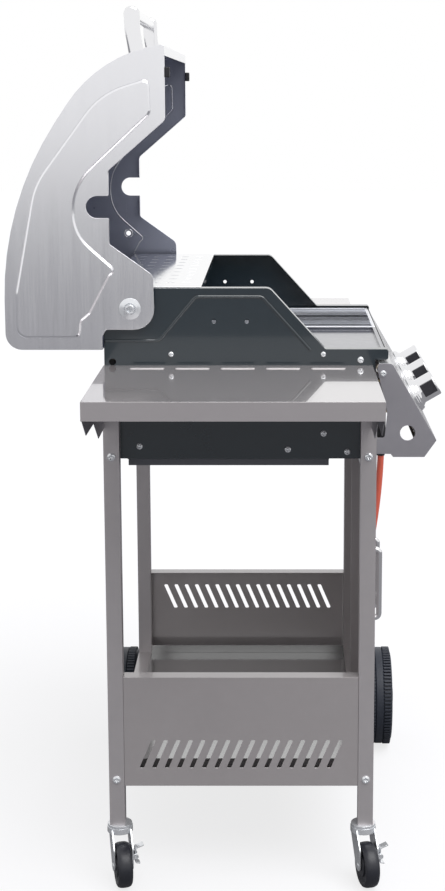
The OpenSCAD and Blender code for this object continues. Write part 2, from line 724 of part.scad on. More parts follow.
// Warming rack: a perforated sheet on the high rims
rack_deep = 154;
rack_y0 = box_back - rack_deep;
rack_x = leg_in - box_flange / 2;
rack_rows = 5;
rack_first = 20;
rack_row_share = 0.169;
rack_cols = 9;
rack_col_share = 0.1957;
rack_slot_l = 12;
rack_slot_w = 5;
module warming_rack() color([0.8, 0.82, 0.84]) {
    difference() {
        block(-rack_x, rack_x, rack_y0, box_back - 2 * sheet, rim_high, rim_high + sheet);
        for (i = [0:rack_rows - 1], j = [0:rack_cols - 1])
            translate([(j - (rack_cols - 1) / 2) * rack_x * rack_col_share,
                rack_y0 + rack_first + i * rack_deep * rack_row_share, rim_high - cut])
                cube([rack_slot_w, rack_slot_l, sheet + 2 * cut]);
    }
    block(-grate_x, grate_x, rack_y0, rack_y0 + sheet, rim_high - ledge, rim_high + sheet / 2);
}

// Hood, drawn closed around its pivot and turned open
crown_at = [-crown_run, hood_rise];
brow_at = [-hood_reach + brow_run, brow_z];
back_at = [hood_back, hood_rise];
lip_at = [-hood_reach, lip_z];
crown_r = bend_r(back_at, crown_at, brow_at, norm(brow_at - crown_at) * crown_bend_share);
brow_r = bend_r(crown_at, brow_at, lip_at, norm(lip_at - brow_at) * brow_bend_share);
hood_corners = [
    [-hood_reach, lip_z, lip_r], [-hood_reach + lip_run, lip_z, plate_r_small],
    [-slope_end, edge_z, plate_r_small], [-ear_edge, edge_z, plate_r_small],
    [-ear_front, -ear_low + ear_rise, rim_r], [ear_back, -ear_low, ear_back],
    [ear_back, back_edge - ear_drop, lip_r], [ear_back + ear_step, back_edge, ear_drop / 2],
    [hood_back, back_edge, 0], [hood_back, hood_rise, back_r],
    [crown_at.x, crown_at.y, crown_r], [brow_at.x, brow_at.y, brow_r]];
skin_corners = [[-hood_reach + lip_flange, lip_z, 0], [-hood_reach, lip_z, lip_r],
    [brow_at.x, brow_at.y, brow_r], [crown_at.x, crown_at.y, crown_r], [hood_back, hood_rise, back_r],
    [hood_back, back_edge, 0]];
module opened() translate([0, pivot_y, pivot_h]) rotate([-lid_open, 0, 0]) children();
hood_x = hood_w / 2;
// Corners of the raised field pressed into each hood side, in shares of its reach and rise
field_shares = [
    [-0.8771, -0.1786, 0.051], [-0.742, -0.1837, 0.0612], [-0.5111, 0.3367, 0.4592],
    [-0.4324, 0.4286, 0.4082], [-0.2899, 0.4286, 0.3571], [-0.1622, 0.1327, 0.051],
    [-0.1425, 0.1122, 0.0408], [-0.1278, 0.1531, 0.051], [0.0197, 0.3163, 0.0408],
    [0.0491, 0.3878, 0.051], [0.113, 0.398, 0.0612], [0.113, 0.9082, 0.0816],
    [-0.0614, 0.9082, 0.1531], [-0.4742, 0.7449, 0.6122], [-0.8182, 0.2143, 0.6122]];
field_corners = [for (s = field_shares) [s.x * hood_reach, s.y * hood_rise, s.z * hood_rise]];
module spit_notch() {
    translate([-notch_y, edge_z + notch_deep - notch_w / 2]) circle(r = notch_w / 2, $fn = fine);
    translate([-notch_y - notch_w / 2, edge_z - notch_w])
        square([notch_w, notch_deep + notch_w / 2]);
}
module hood_side() opened() difference() {
    union() {
        yz(hood_x - sheet, sheet) difference() {
            polygon(outline(hood_corners));
            spit_notch();
        }
        yz(hood_x - sheet / 2, sheet / 2 + raise) polygon(outline(field_corners));
        yz(hood_x - hood_flange, hood_flange - sheet / 2) for (c = [
            [[-hood_reach + lip_flange + cut, lip_z, 0], [-hood_reach + lip_run, lip_z, plate_r_small],
                [-slope_end, edge_z, plate_r_small], [-notch_y - notch_w / 2 - cut, edge_z, 0]],
            [[-notch_y + notch_w / 2 + cut, edge_z, 0], [-ear_edge, edge_z, 0]]]) polygon(band(c, sheet));
    }
    rod_x(hood_x - sheet - cut, hood_x + raise + cut, 0, 0, hinge_d / 2 + run_fit);
}
// The right side has one more hole, a sight hole for its spit motor
module hood_right() color([0.75, 0.76, 0.79]) difference() {
    hood_side();
    opened() rod_x(hood_x - sheet - cut, hood_x + raise + cut, sight_at.x, sight_at.y, sight_d / 2);
}
module hood_left() color([0.75, 0.76, 0.79]) mirror([1, 0, 0]) hood_side();
module hood_skin() color([0.78, 0.79, 0.81]) opened()
    yz(-hood_x + sheet, 2 * hood_x - 2 * sheet) polygon(band(skin_corners, -sheet));

// Handle: two flat posts with round heads, and the bar between them
module handle_posts() color([0.85, 0.86, 0.88]) opened() both() difference() {
    root = -hood_reach + post_root;
    neck = -grip_reach + 2 * post_r;
    yz(handle_w / 2 - post_t, post_t) polygon(outline([
        [-grip_reach - post_r, grip_z - post_r, post_r - cut], [neck, grip_z - post_r - cut, 0],
        [root, grip_z - post_r - post_flare, 0], [root, grip_z + post_r - post_taper, 0],
        [neck, grip_z + post_r - cut, 0], [-grip_reach - post_r, grip_z + post_r, post_r - cut]]));
    yz(-hood_x, 2 * hood_x) polygon(outline(hood_corners));
}
module handle_bar() color([0.85, 0.86, 0.88]) opened()
    rod_x(-handle_w / 2 + post_t, handle_w / 2 - post_t, -grip_reach, grip_z, bar_r);
module lid_bumpers() color([0.15, 0.15, 0.17]) opened() both()
    translate([0, 2 * lip_flange - hood_reach, 0])
        block(hood_x - pad_w - pad_in, hood_x - pad_in, 0, pad_l, lip_z - lid_gap + rest_gap, lip_z);

// Hinge: bolt, nut and spacer stay with the firebox, the washer turns with the hood
module hinge_bolts() color("silver") both() translate([0, pivot_y, pivot_h]) {
    head_x = hood_x + washer_t + rest_gap;
    rod_x(box_x - nut_t, head_x, 0, 0, hinge_d / 2);
    rod_x(head_x, head_x + bolt_head_t, 0, 0, bolt_head_d / 2);
    difference() {
        rod_x(box_x - nut_t, box_x, 0, 0, hinge_d * nut_share);
        rod_x(box_x - nut_t - cut, box_x + cut, 0, 0, hinge_d / 2);
    }
    difference() {
        rod_x(leg_in + bead_h, hood_x - sheet - rest_gap, 0, 0, hinge_d * spacer_share);
        rod_x(leg_in, hood_x, 0, 0, hinge_d / 2);
    }
}
module hinge_washers() color("silver") both() translate([0, pivot_y, pivot_h]) difference() {
    rod_x(hood_x, hood_x + washer_t, 0, 0, washer_d / 2);
    rod_x(hood_x - cut, hood_x + washer_t + cut, 0, 0, hinge_d / 2 + run_fit);
}

// Control panel between its two end brackets
bracket_shares = [
    [0, 0.0333, 0], [0, 0.2067, 0], [0.127, 0.2067, 0.0267], [0.1693, 0.4667, 0.1333],
    [0, 0.9333, 0.08], [0, 1, 0.0333],
    [0.2434, 1, 0.0533], [1, 0.18, 0.0133], [0.7989, 0, 0.0133], [0.2751, 0, 0], [0.2328, 0.0333, 0]];
bracket_corners = [for (s = bracket_shares)
    [yf - s.x * face_out, chin.y + s.y * chin_drop, s.z * chin_drop]];
bracket_foot = 5;
bracket_tab = 26;
bracket_screw_in = 9;
bracket_screw_drop = 16;
bracket_screw = [0, yf - bracket_screw_in, panel_top - bracket_screw_drop];
module control_bracket() difference() {
    union() {
        yz(leg_x - sheet, sheet) polygon(outline(bracket_corners));
        block(leg_in, leg_x - sheet / 2, yf - sheet, yf, chin.y + bracket_foot,
            chin.y + bracket_foot + bracket_tab);
    }
    rod_x(leg_x - 2 * sheet, leg_x + cut, pipe_at.x, pipe_at.y, pipe_hole_d / 2);
    rod_x(leg_x - 2 * sheet, leg_x + cut, bracket_screw.y, bracket_screw.z, shank_r + shank_fit);
}
module control_bracket_right() color([0.5, 0.49, 0.5]) control_bracket();
module control_bracket_left() color([0.5, 0.49, 0.5]) mirror([1, 0, 0]) control_bracket();
// Frame on the slanted face at a knob: Z points out of the panel
module on_face(x) translate([x, knob_at.x, knob_at.y]) rotate([face_turn, 0, 0]) children();
module control_panel() color([0.75, 0.76, 0.78]) difference() {
    yz(-leg_x + sheet, 2 * leg_x - 2 * sheet) polygon(band([
        [yf - fold_r, panel_top, 0], [face_top.x, face_top.y, face_r], [face_low.x, face_low.y, fold_r],
        [chin.x, chin.y, fold_r], [chin_back.x, chin_back.y, 0]], sheet));
    for (x = burner_places) on_face(x) rod_z(0, 0, -2 * sheet, cut, face_hole_d / 2);
}
module bezels() color([0.8, 0.8, 0.82]) for (x = burner_places) on_face(x) difference() {
    cylinder(h = bezel_t, r1 = bezel_d / 2, r2 = bezel_d / 2 - bezel_t / 2, $fn = 64);
    rod_z(0, 0, -cut, bezel_t + cut, face_hole_d / 2 - cut);
}
// Gas manifold: a pipe through the right bracket, with an elbow down to the hose
elbow_x = hose_route[0].x;
module manifold() color([0.6, 0.58, 0.5]) {
    rod_x(-pipe_start, elbow_x, pipe_at.x, pipe_at.y, pipe_r);
    rod_z(elbow_x, pipe_at.x, hose_route[0].z, pipe_at.y, elbow_r);
    translate([elbow_x, pipe_at.x, pipe_at.y]) sphere(r = pipe_r, $fn = fine);
}
// Gas valves behind the face, seated on the pipe, with nozzles into the burner tubes
module valves() color([0.65, 0.6, 0.45]) for (x = burner_places) difference() {
    union() {
        on_face(x) rod_z(0, 0, -valve_end, -valve_top, valve_r);
        rod_y(x, knob_at.x + valve_end * nozzle_share, yf - burner_nose + nozzle_in, burner_z, nozzle_r);
    }
    on_face(x) rod_z(0, 0, -stem_in - push_travel - cut, cut, stem_r + run_fit);
    rod_x(x - 2 * valve_r, x + 2 * valve_r, pipe_at.x, pipe_at.y, pipe_r);
}
module stem(x) color("silver") on_face(x) rod_z(0, 0, -stem_in, stem_top, stem_r);
module stem_left() stem(-burner_pitch);
module stem_middle() stem(0);
module stem_right() stem(burner_pitch);
// Knob: a skirt and a body with two grip flats, bored for the stem
knob_gap = 0.8;
knob_low = bezel_t + push_travel + knob_gap;
skirt_t = 7;
skirt_out = 3;
grip_flat = 14;
grip_deep = 2;
grip_end = 4;
module knob(x) color([0.75, 0.76, 0.78]) on_face(x) difference() {
    union() {
        translate([0, 0, knob_low])
            cylinder(h = skirt_t, r1 = knob_d / 2 + skirt_out, r2 = knob_d / 2, $fn = 64);
        rod_z(0, 0, knob_low + skirt_t, knob_low + knob_len, knob_d / 2);
    }
    for (s = [-1, 1])
        translate([s * (grip_flat / 2 + knob_d / 2 - grip_deep), 0, knob_low + skirt_t + knob_len / 2])
            cube([grip_flat, grip_flat, knob_len - skirt_t - grip_end], center = true);
    rod_z(0, 0, 0, stem_top + cut, stem_r + run_fit);
}
module knob_left() knob(-burner_pitch);
module knob_middle() knob(0);
module knob_right() knob(burner_pitch);

// Side shelves: pans of folded sheet with pressed ribs along the firebox
rib_round_share = 0.48;
module shelf_rib() linear_extrude(rib_h) polygon(outline([
    for (c = [[-1, -1], [1, -1], [1, 1], [-1, 1]])
        [c.x * rib_w / 2, c.y * rib_l / 2, rib_w * rib_round_share]]));
module side_shelf() {
    difference() {
        block(shelf_in, shelf_out, shelf_y0, shelf_y1, skirt_z, top_h);
        block(shelf_in + sheet, shelf_out - sheet, shelf_y0 + sheet, shelf_y1 - sheet,
            skirt_z - cut, top_h - sheet);
    }
    for (i = [0:rib_count - 1])
        translate([shelf_in + rib_in,
            (shelf_y0 + shelf_y1) / 2 + (i - (rib_count - 1) / 2) * rib_pitch, top_h]) shelf_rib();
}
module shelf_right() color([0.66, 0.65, 0.65]) side_shelf();
module shelf_left() color([0.66, 0.65, 0.65]) mirror([1, 0, 0]) side_shelf();
// Stepped brackets under both ends of each shelf
gusset_shares = [[0, 0], [0.15, 0.44], [0.46, 0.47], [0.66, 1]];
gusset_drop = 68;
module gusset() polygon(concat(
    [for (s = gusset_shares) [shelf_out - sheet - s.x * shelf_w, skirt_z - s.y * gusset_drop]],
    [[leg_x, skirt_z - gusset_drop], [leg_x, top_h - sheet], [shelf_out - sheet, top_h - sheet]]));
module shelf_brackets() color([0.55, 0.53, 0.54]) both() for (y = [shelf_y0 + sheet, shelf_y1 - 2 * sheet])
    xz(y, sheet) gusset();

// Screws: round heads on the legs and on the sides of the firebox and brackets
rim_screw_in = 25.5;
rim_screw_up = 9;
rear_screw = [54, 20];
mid_screw = [81, 41];
low_screw = [138, 15];
fore_screw = [43, 11];
side_screw_places = [[0, yf + rim_screw_in, top_h + rim_screw_up],
    [0, box_back - rear_screw.x, box_floor + rear_screw.y],
    for (s = [mid_screw, low_screw, fore_screw]) [0, box_front + s.x, box_floor + s.y]];
head_share = 0.6;
cross_share = 0.2;
module screw(x, s, r, l) difference() {
    union() {
        rod_x(x - l, x + head_t / 4, s.y, s.z, shank_r);
        translate([x, s.y, s.z]) rotate([0, 90, 0])
            cylinder(h = head_t, r1 = r, r2 = r * head_share, $fn = 32);
    }
    for (a = [0, 90]) translate([x + head_t, s.y, s.z]) rotate([a, 0, 0])
        cube([head_t, r, r * cross_share], center = true);
}
module screws() color("silver") both() {
    for (s = leg_screw_places) screw(leg_x, s, leg_screw_r, leg_t + sheet + leg_wall);
    for (s = side_screw_places) screw(leg_in, s, side_screw_r, 3 * sheet);
    screw(leg_x, bracket_screw, side_screw_r, 3 * sheet);
}

// Hose: a ring of corners square to the route at each of its points
function along(i) = unit(hose_route[min(i + 1, len(hose_route) - 1)] - hose_route[max(i - 1, 0)]);
function ring(i) = let(t = along(i), u = unit(cross([1, 0, 0], t)), v = cross(t, u))
    [for (k = [0:hose_sides - 1]) hose_route[i]
        + hose_d / 2 * (cos(360 * k / hose_sides) * u + sin(360 * k / hose_sides) * v)];
module gas_hose() color([0.92, 0.4, 0.3]) {
    n = len(hose_route);
    polyhedron(
        points = [for (i = [0:n - 1]) each ring(i)],
        faces = concat(
            [[for (k = [hose_sides - 1:-1:0]) k]],
            [for (i = [0:n - 2], k = [0:hose_sides - 1])
                let(a = i * hose_sides, m = (k + 1) % hose_sides)
                [a + k, a + m, a + hose_sides + m, a + hose_sides + k]],
            [[for (k = [0:hose_sides - 1]) (n - 1) * hose_sides + k]]));
}
reg_r = 26;
reg_h = 24;
reg_neck = 12;
reg_neck_r = 6;
reg_cap = 6;
reg_cap_share = 0.6;
outlet_in = 3;
outlet_r = 11;
module regulator() color([0.4, 0.4, 0.42]) {
    e = hose_route[len(hose_route) - 1];
    reg_y = e.y + reg_neck + reg_r;
    rod_y(e.x, e.y, e.y + 2 * reg_neck, e.z, reg_neck_r);
    rod_z(e.x, reg_y, 0, reg_h, reg_r);
    rod_z(e.x, reg_y, reg_h, reg_h + reg_cap, reg_r * reg_cap_share);
    rod_y(e.x, reg_y + reg_r - outlet_in, reg_y + reg_r + reg_neck, reg_h / 2, outlet_r);
}

leg_front_left();
leg_front_right();
leg_rear_left();
leg_rear_right();
side_panel_left();
side_panel_right();
bottom_shelf();
cross_rails();
door_left();
door_right();
door_handle_left();
door_handle_right();
door_pins();
axle();
wheel_front();
wheel_rear();
caster_plates();
caster_fork_front();
caster_fork_rear();
caster_wheel_front();
caster_wheel_rear();
caster_brake_front();
caster_brake_rear();
firebox_left();
firebox_right();
firebox_front();
firebox_back();
firebox_floor();
burners();
heat_plates();
cooking_grate();
griddle_plate();
warming_rack();
grease_tray();
hood_left();
hood_right();
hood_skin();
handle_posts();
handle_bar();
lid_bumpers();
hinge_bolts();
hinge_washers();
control_bracket_left();
control_bracket_right();
control_panel();
manifold();
valves();
stem_left();
stem_middle();
stem_right();
knob_left();
knob_middle();
knob_right();
bezels();
shelf_left();
shelf_right();
shelf_brackets();
screws();
gas_hose();
regulator();
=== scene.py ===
# %% [markdown]
# # Dressing a gas grill
# The imported model brings every sheet, tube, wheel and screw at its real place and size. This lesson
# gives each of them the finish and the soft edges of the real thing, and models anew the pieces whose
# look needs more than a clean solid: knobs, wheels, handles, screws and the gas hose.

# %% Load the fixed frame
import json
import math

import bmesh
import bpy
from mathutils import Matrix, Vector


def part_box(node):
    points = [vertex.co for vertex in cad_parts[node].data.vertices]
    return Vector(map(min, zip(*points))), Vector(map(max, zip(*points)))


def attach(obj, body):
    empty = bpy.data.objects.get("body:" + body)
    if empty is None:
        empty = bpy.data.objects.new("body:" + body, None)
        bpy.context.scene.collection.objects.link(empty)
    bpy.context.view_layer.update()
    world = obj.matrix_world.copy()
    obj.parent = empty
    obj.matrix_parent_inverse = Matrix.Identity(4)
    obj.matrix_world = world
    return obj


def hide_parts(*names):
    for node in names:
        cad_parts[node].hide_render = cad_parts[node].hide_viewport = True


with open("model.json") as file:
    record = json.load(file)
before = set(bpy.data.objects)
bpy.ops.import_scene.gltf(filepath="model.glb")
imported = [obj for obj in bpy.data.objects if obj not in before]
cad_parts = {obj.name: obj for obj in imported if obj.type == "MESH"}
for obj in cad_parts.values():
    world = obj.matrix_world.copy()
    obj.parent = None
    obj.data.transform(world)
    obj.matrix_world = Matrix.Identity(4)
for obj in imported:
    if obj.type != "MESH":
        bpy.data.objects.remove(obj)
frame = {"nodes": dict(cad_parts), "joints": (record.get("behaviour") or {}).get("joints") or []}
nodes = frame["nodes"]
joints = {joint["name"]: joint for joint in frame["joints"]}
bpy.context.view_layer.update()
scene = bpy.context.scene
MM = 0.001

# %% [markdown]
# ## Camera
# The picture was taken from the user's left, a little above the work surface. A camera placed by eye
# never lines up, so this one is worked out: its height, its distance and its tilt come from the legs,
# wheels and shelves, whose sizes are known. The picture was cropped off centre, which a small lens
# shift repeats.

# %% Camera at the picture's viewpoint
PICTURE_W_PX, PICTURE_H_PX = 445, 891
FOCAL_PX = 1640
AXIS_X_PX, AXIS_Y_PX = 276, 375
PITCH = math.radians(9.59)
CAMERA_AT = (-2.851, -0.074, 1.281)
bpy.ops.object.camera_add(location=CAMERA_AT, rotation=(math.pi / 2 - PITCH, 0, -math.pi / 2))
camera = bpy.context.object
camera.data.lens = camera.data.sensor_width * FOCAL_PX / PICTURE_H_PX
camera.data.shift_x = (PICTURE_W_PX / 2 - AXIS_X_PX) / PICTURE_H_PX
camera.data.shift_y = (AXIS_Y_PX - PICTURE_H_PX / 2) / PICTURE_H_PX
scene.camera = camera
print("lens mm:", round(camera.data.lens, 2))

# %% [markdown]
# ## Editing by code
# Operators act on whatever is selected, as they do under the mouse. These few helpers make one object
# active, open its mesh, and pick faces or points by where they are, so that each later step reads like
# a step at the screen.


# %% Selecting in code
def activate(obj):
    bpy.ops.object.select_all(action="DESELECT")
    obj.select_set(True)
    bpy.context.view_layer.objects.active = obj
    return obj


def open_mesh(obj, mode="FACE"):
    """Edit mode with nothing selected."""
    activate(obj)
    bpy.ops.object.mode_set(mode="EDIT")
    bpy.ops.mesh.select_mode(type=mode)
    bpy.ops.mesh.select_all(action="DESELECT")


def close_mesh():
    bpy.ops.object.mode_set(mode="OBJECT")


def pick(obj, test, kind="faces"):
    """Selects the open mesh's faces, edges or verts that pass the test, and says how many."""
    mesh = bmesh.from_edit_mesh(obj.data)
    mesh.normal_update()
    chosen = [part for part in getattr(mesh, kind) if test(part)]
    for part in chosen:
        part.select_set(True)
    mesh.select_flush_mode()
    bmesh.update_edit_mesh(obj.data)
    return len(chosen)


# %% Modifiers and places
def add_modifier(obj, kind, **settings):
    modifier = obj.modifiers.new(kind.lower(), kind)
    for name, value in settings.items():
        setattr(modifier, name, value)
    return modifier


def apply_all(obj):
    activate(obj)
    for modifier in list(obj.modifiers):
        bpy.ops.object.modifier_apply(modifier=modifier.name)
    return obj


def settle(obj):
    """Puts the object's place, turn and scale into its mesh."""
    activate(obj)
    bpy.ops.object.transform_apply(location=True, rotation=True, scale=True)
    return obj


# %% [markdown]
# ## Soft edges
# Folded and stamped metal has no knife edges: a radius of a few tenths of a millimetre catches the
# light along every fold. A Bevel limited by angle makes it, and Weighted Normal keeps the broad faces
# flat, so that only the small radius shades round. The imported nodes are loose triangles, so a Weld and
# a planar Decimate come first. All of this stays in modifiers, and the node's own mesh isn't touched.


# %% Soft edges in modifiers
EDGE_ANGLE = math.radians(32)
FLAT_ANGLE = math.radians(0.5)
WELD_GAP = 0.02 * MM
FLAT_FACE_WEIGHT = 80


def round_edges(obj, width, segments=2):
    add_modifier(
        obj, "BEVEL", width=width, segments=segments, limit_method="ANGLE",
        angle_limit=EDGE_ANGLE, use_clamp_overlap=False,
    )
    add_modifier(obj, "WEIGHTED_NORMAL", keep_sharp=True, weight=FLAT_FACE_WEIGHT)
    obj.data.shade_smooth()


def soften(node, width):
    obj = nodes[node]
    add_modifier(obj, "WELD", merge_threshold=WELD_GAP)
    add_modifier(obj, "DECIMATE", decimate_type="DISSOLVE", angle_limit=FLAT_ANGLE)
    round_edges(obj, width)


# %% [markdown]
# ## Copies and solids of the frame
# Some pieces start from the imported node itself, merged into a clean mesh, so that their outline is
# exact. Others need only the place of each solid in a node, such as every screw of the screw set:
# a merged copy is separated into its loose parts, measured and thrown away.


# %% Copying a node
def copy_of(node, name):
    piece = bpy.data.objects.new(name, nodes[node].data.copy())
    scene.collection.objects.link(piece)
    piece.data.materials.clear()
    open_mesh(piece)
    bpy.ops.mesh.select_all(action="SELECT")
    bpy.ops.mesh.customdata_custom_splitnormals_clear()
    bpy.ops.mesh.remove_doubles(threshold=WELD_GAP)
    bpy.ops.mesh.dissolve_limited(angle_limit=FLAT_ANGLE)
    close_mesh()
    return piece


# %% Measuring a node's solids
def solids_of(node):
    """The lowest and highest corners of each solid in a node."""
    measured = copy_of(node, "measured")
    open_mesh(measured)
    bpy.ops.mesh.select_all(action="SELECT")
    bpy.ops.mesh.separate(type="LOOSE")
    close_mesh()
    boxes = []
    for part in list(bpy.context.selected_objects):
        points = [v.co for v in part.data.vertices]
        low = Vector([min(p[i] for p in points) for i in range(3)])
        high = Vector([max(p[i] for p in points) for i in range(3)])
        boxes.append((low, high))
        bpy.data.objects.remove(part)
    return sorted(boxes, key=lambda box: tuple(box[0]))


# %% Seating a finished piece
def seat(obj, body, slot, *replaced):
    """Hands a finished piece to the body that carries it."""
    if obj.type == "MESH":
        apply_all(obj)
    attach(obj, body)
    if replaced:
        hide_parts(*replaced)
    return obj


# %% [markdown]
# ## Shared patterns
# Three patterns cover nearly every surface here. Brushed steel has long fine lines in one direction:
# a noise stretched hard along one axis gives both the streaks and the tiny grooves. Powder coat and
# enamel have a faint orange peel, and cast or moulded surfaces a coarser skin. Each pattern is one node
# group that reads Object coordinates and puts out a tint and a normal, so every material can use it
# with its own values.


# %% Node group helpers
def new_group(name, inputs, outputs):
    tree = bpy.data.node_groups.new(name, "ShaderNodeTree")
    for kind, label, value in inputs:
        tree.interface.new_socket(label, in_out="INPUT", socket_type=kind).default_value = value
    for kind, label in outputs:
        tree.interface.new_socket(label, in_out="OUTPUT", socket_type=kind)
    return tree, tree.nodes.new("NodeGroupInput"), tree.nodes.new("NodeGroupOutput")


def add_node(tree, kind, **values):
    """A node with its properties or, by label, its sockets set."""
    node = tree.nodes.new(kind)
    for label, value in values.items():
        if hasattr(node, label):
            setattr(node, label, value)
        else:
            node.inputs[label].default_value = value
    return node


# %% Brushed grain
GROOVE_DEEP = 0.2 * MM


def brushed_grain_group():
    tree, inside, out = new_group(
        "brushed grain",
        [("NodeSocketVector", "Lines", (1, 1, 1)), ("NodeSocketFloat", "Depth", 0.2)],
        [("NodeSocketFloat", "Tint"), ("NodeSocketVector", "Normal")],
    )
    place = add_node(tree, "ShaderNodeTexCoord")
    stretch = add_node(tree, "ShaderNodeVectorMath", operation="MULTIPLY")
    fine = add_node(tree, "ShaderNodeTexNoise", Scale=1, Detail=6, Roughness=0.7)
    broad = add_node(tree, "ShaderNodeTexNoise", Scale=0.12, Detail=2)
    both = add_node(tree, "ShaderNodeMix", Factor=0.35)
    bump = add_node(tree, "ShaderNodeBump", Distance=GROOVE_DEEP)
    link = tree.links.new
    link(place.outputs["Object"], stretch.inputs[0])
    link(inside.outputs["Lines"], stretch.inputs[1])
    link(stretch.outputs[0], fine.inputs["Vector"])
    link(stretch.outputs[0], broad.inputs["Vector"])
    link(fine.outputs["Fac"], both.inputs["A"])
    link(broad.outputs["Fac"], both.inputs["B"])
    link(fine.outputs["Fac"], bump.inputs["Height"])
    link(inside.outputs["Depth"], bump.inputs["Strength"])
    link(both.outputs["Result"], out.inputs["Tint"])
    link(bump.outputs["Normal"], out.inputs["Normal"])
    return tree


# %% Orange peel and cast skin
def skin_group(name, detail, distance):
    tree, inside, out = new_group(
        name,
        [("NodeSocketFloat", "Scale", 300), ("NodeSocketFloat", "Depth", 0.2)],
        [("NodeSocketFloat", "Tint"), ("NodeSocketVector", "Normal")],
    )
    place = add_node(tree, "ShaderNodeTexCoord")
    peel = add_node(tree, "ShaderNodeTexNoise", Detail=detail, Roughness=0.6)
    cloud = add_node(tree, "ShaderNodeTexNoise", Scale=7, Detail=3)
    both = add_node(tree, "ShaderNodeMix", Factor=0.5)
    bump = add_node(tree, "ShaderNodeBump", Distance=distance)
    link = tree.links.new
    link(place.outputs["Object"], peel.inputs["Vector"])
    link(place.outputs["Object"], cloud.inputs["Vector"])
    link(inside.outputs["Scale"], peel.inputs["Scale"])
    link(peel.outputs["Fac"], both.inputs["A"])
    link(cloud.outputs["Fac"], both.inputs["B"])
    link(peel.outputs["Fac"], bump.inputs["Height"])
    link(inside.outputs["Depth"], bump.inputs["Strength"])
    link(both.outputs["Result"], out.inputs["Tint"])
    link(bump.outputs["Normal"], out.inputs["Normal"])
    return tree


GRAIN = brushed_grain_group()
PEEL = skin_group("orange peel", 2, 0.2 * MM)
CAST = skin_group("cast skin", 5, 0.6 * MM)
print("groups:", [tree.name for tree in (GRAIN, PEEL, CAST)])

# %% [markdown]
# ## Materials
# A finish here is two close colours and a range of roughness, mixed by the pattern's tint. That breaks
# up the flat look without painting light or shade. Plain values stay on the shader's own sockets.


# %% Building a finish
TINT_LOW, TINT_HIGH = 0.3, 0.7


def finish_of(name, pattern, colours, rough, metallic, skin, coat=None):
    """A material; skin holds the pattern's own values and coat those of the clear layer."""
    made = bpy.data.materials.new(name)
    made.use_nodes = True
    tree = made.node_tree
    shader = tree.nodes["Principled BSDF"]
    shader.inputs["Metallic"].default_value = metallic
    for label, value in (coat or {}).items():
        shader.inputs[label].default_value = value
    effect = add_node(tree, "ShaderNodeGroup", node_tree=pattern)
    for label, value in skin.items():
        effect.inputs[label].default_value = value
    colour = add_node(tree, "ShaderNodeMix", data_type="RGBA")
    spread = add_node(tree, "ShaderNodeMapRange")
    spread.inputs["From Min"].default_value = TINT_LOW
    spread.inputs["From Max"].default_value = TINT_HIGH
    for socket, value in zip(("To Min", "To Max"), rough):
        spread.inputs[socket].default_value = value
    # A Mix node keeps its two colours in inputs 6 and 7, and gives the mixed one in output 2.
    for socket, value in zip((6, 7), colours):
        colour.inputs[socket].default_value = (*value, 1)
    link = tree.links.new
    link(effect.outputs["Tint"], colour.inputs[0])
    link(effect.outputs["Tint"], spread.inputs["Value"])
    link(effect.outputs["Normal"], shader.inputs["Normal"])
    link(colour.outputs[2], shader.inputs["Base Color"])
    link(spread.outputs["Result"], shader.inputs["Roughness"])
    return made


# %% Steels of the hood and the panel
# Lines run up and down the hood's sides, and from side to side over its skin and the panel.
LINES_UP = (500, 500, 9)
LINES_ACROSS = (9, 500, 500)
hood_side_steel = finish_of(
    "hood_side_steel", GRAIN, [(0.79, 0.79, 0.815), (0.92, 0.92, 0.95)],
    rough=(0.16, 0.24), metallic=1.0, skin={"Lines": LINES_UP, "Depth": 0.10},
)
hood_skin_steel = finish_of(
    "hood_skin_steel", GRAIN, [(0.82, 0.825, 0.84), (0.94, 0.945, 0.96)],
    rough=(0.18, 0.26), metallic=1.0, skin={"Lines": LINES_ACROSS, "Depth": 0.14},
)
# Painted shade: a darker blue-grey steel for the hood's inside faces, standing in for the shade and dark
# reflections inside the hood.
hood_lining = finish_of(
    "hood_lining", PEEL, [(0.27, 0.285, 0.36), (0.34, 0.355, 0.43)],
    rough=(0.26, 0.34), metallic=0.6, skin={"Scale": 25, "Depth": 0.002},
)
panel_steel = finish_of(
    "panel_steel", GRAIN, [(0.58, 0.58, 0.595), (0.70, 0.70, 0.715)],
    rough=(0.22, 0.32), metallic=1.0, skin={"Lines": LINES_ACROSS, "Depth": 0.2},
)

# %% Smaller metal parts
chrome = finish_of(
    "chrome", PEEL, [(0.80, 0.80, 0.82), (0.86, 0.86, 0.87)],
    rough=(0.05, 0.10), metallic=1.0, skin={"Scale": 60, "Depth": 0.04},
)
bright_zinc = finish_of(
    "bright_zinc", PEEL, [(0.80, 0.82, 0.85), (0.90, 0.915, 0.94)],
    rough=(0.12, 0.22), metallic=0.6, skin={"Scale": 160, "Depth": 0.05},
)
rack_steel = finish_of(
    "rack_steel", GRAIN, [(0.88, 0.885, 0.90), (0.94, 0.945, 0.955)],
    rough=(0.07, 0.12), metallic=1.0, skin={"Lines": LINES_ACROSS, "Depth": 0.02},
)
burner_steel = finish_of(
    "burner_steel", GRAIN, [(0.40, 0.38, 0.36), (0.55, 0.53, 0.50)],
    rough=(0.30, 0.45), metallic=1.0, skin={"Lines": (400, 12, 400), "Depth": 0.2},
)
tray_steel = finish_of(
    "tray_steel", PEEL, [(0.10, 0.105, 0.12), (0.14, 0.145, 0.16)],
    rough=(0.35, 0.5), metallic=0.7, skin={"Scale": 200, "Depth": 0.12},
)
gas_brass = finish_of(
    "gas_brass", CAST, [(0.55, 0.42, 0.20), (0.68, 0.55, 0.30)],
    rough=(0.25, 0.4), metallic=1.0, skin={"Scale": 220, "Depth": 0.15},
)

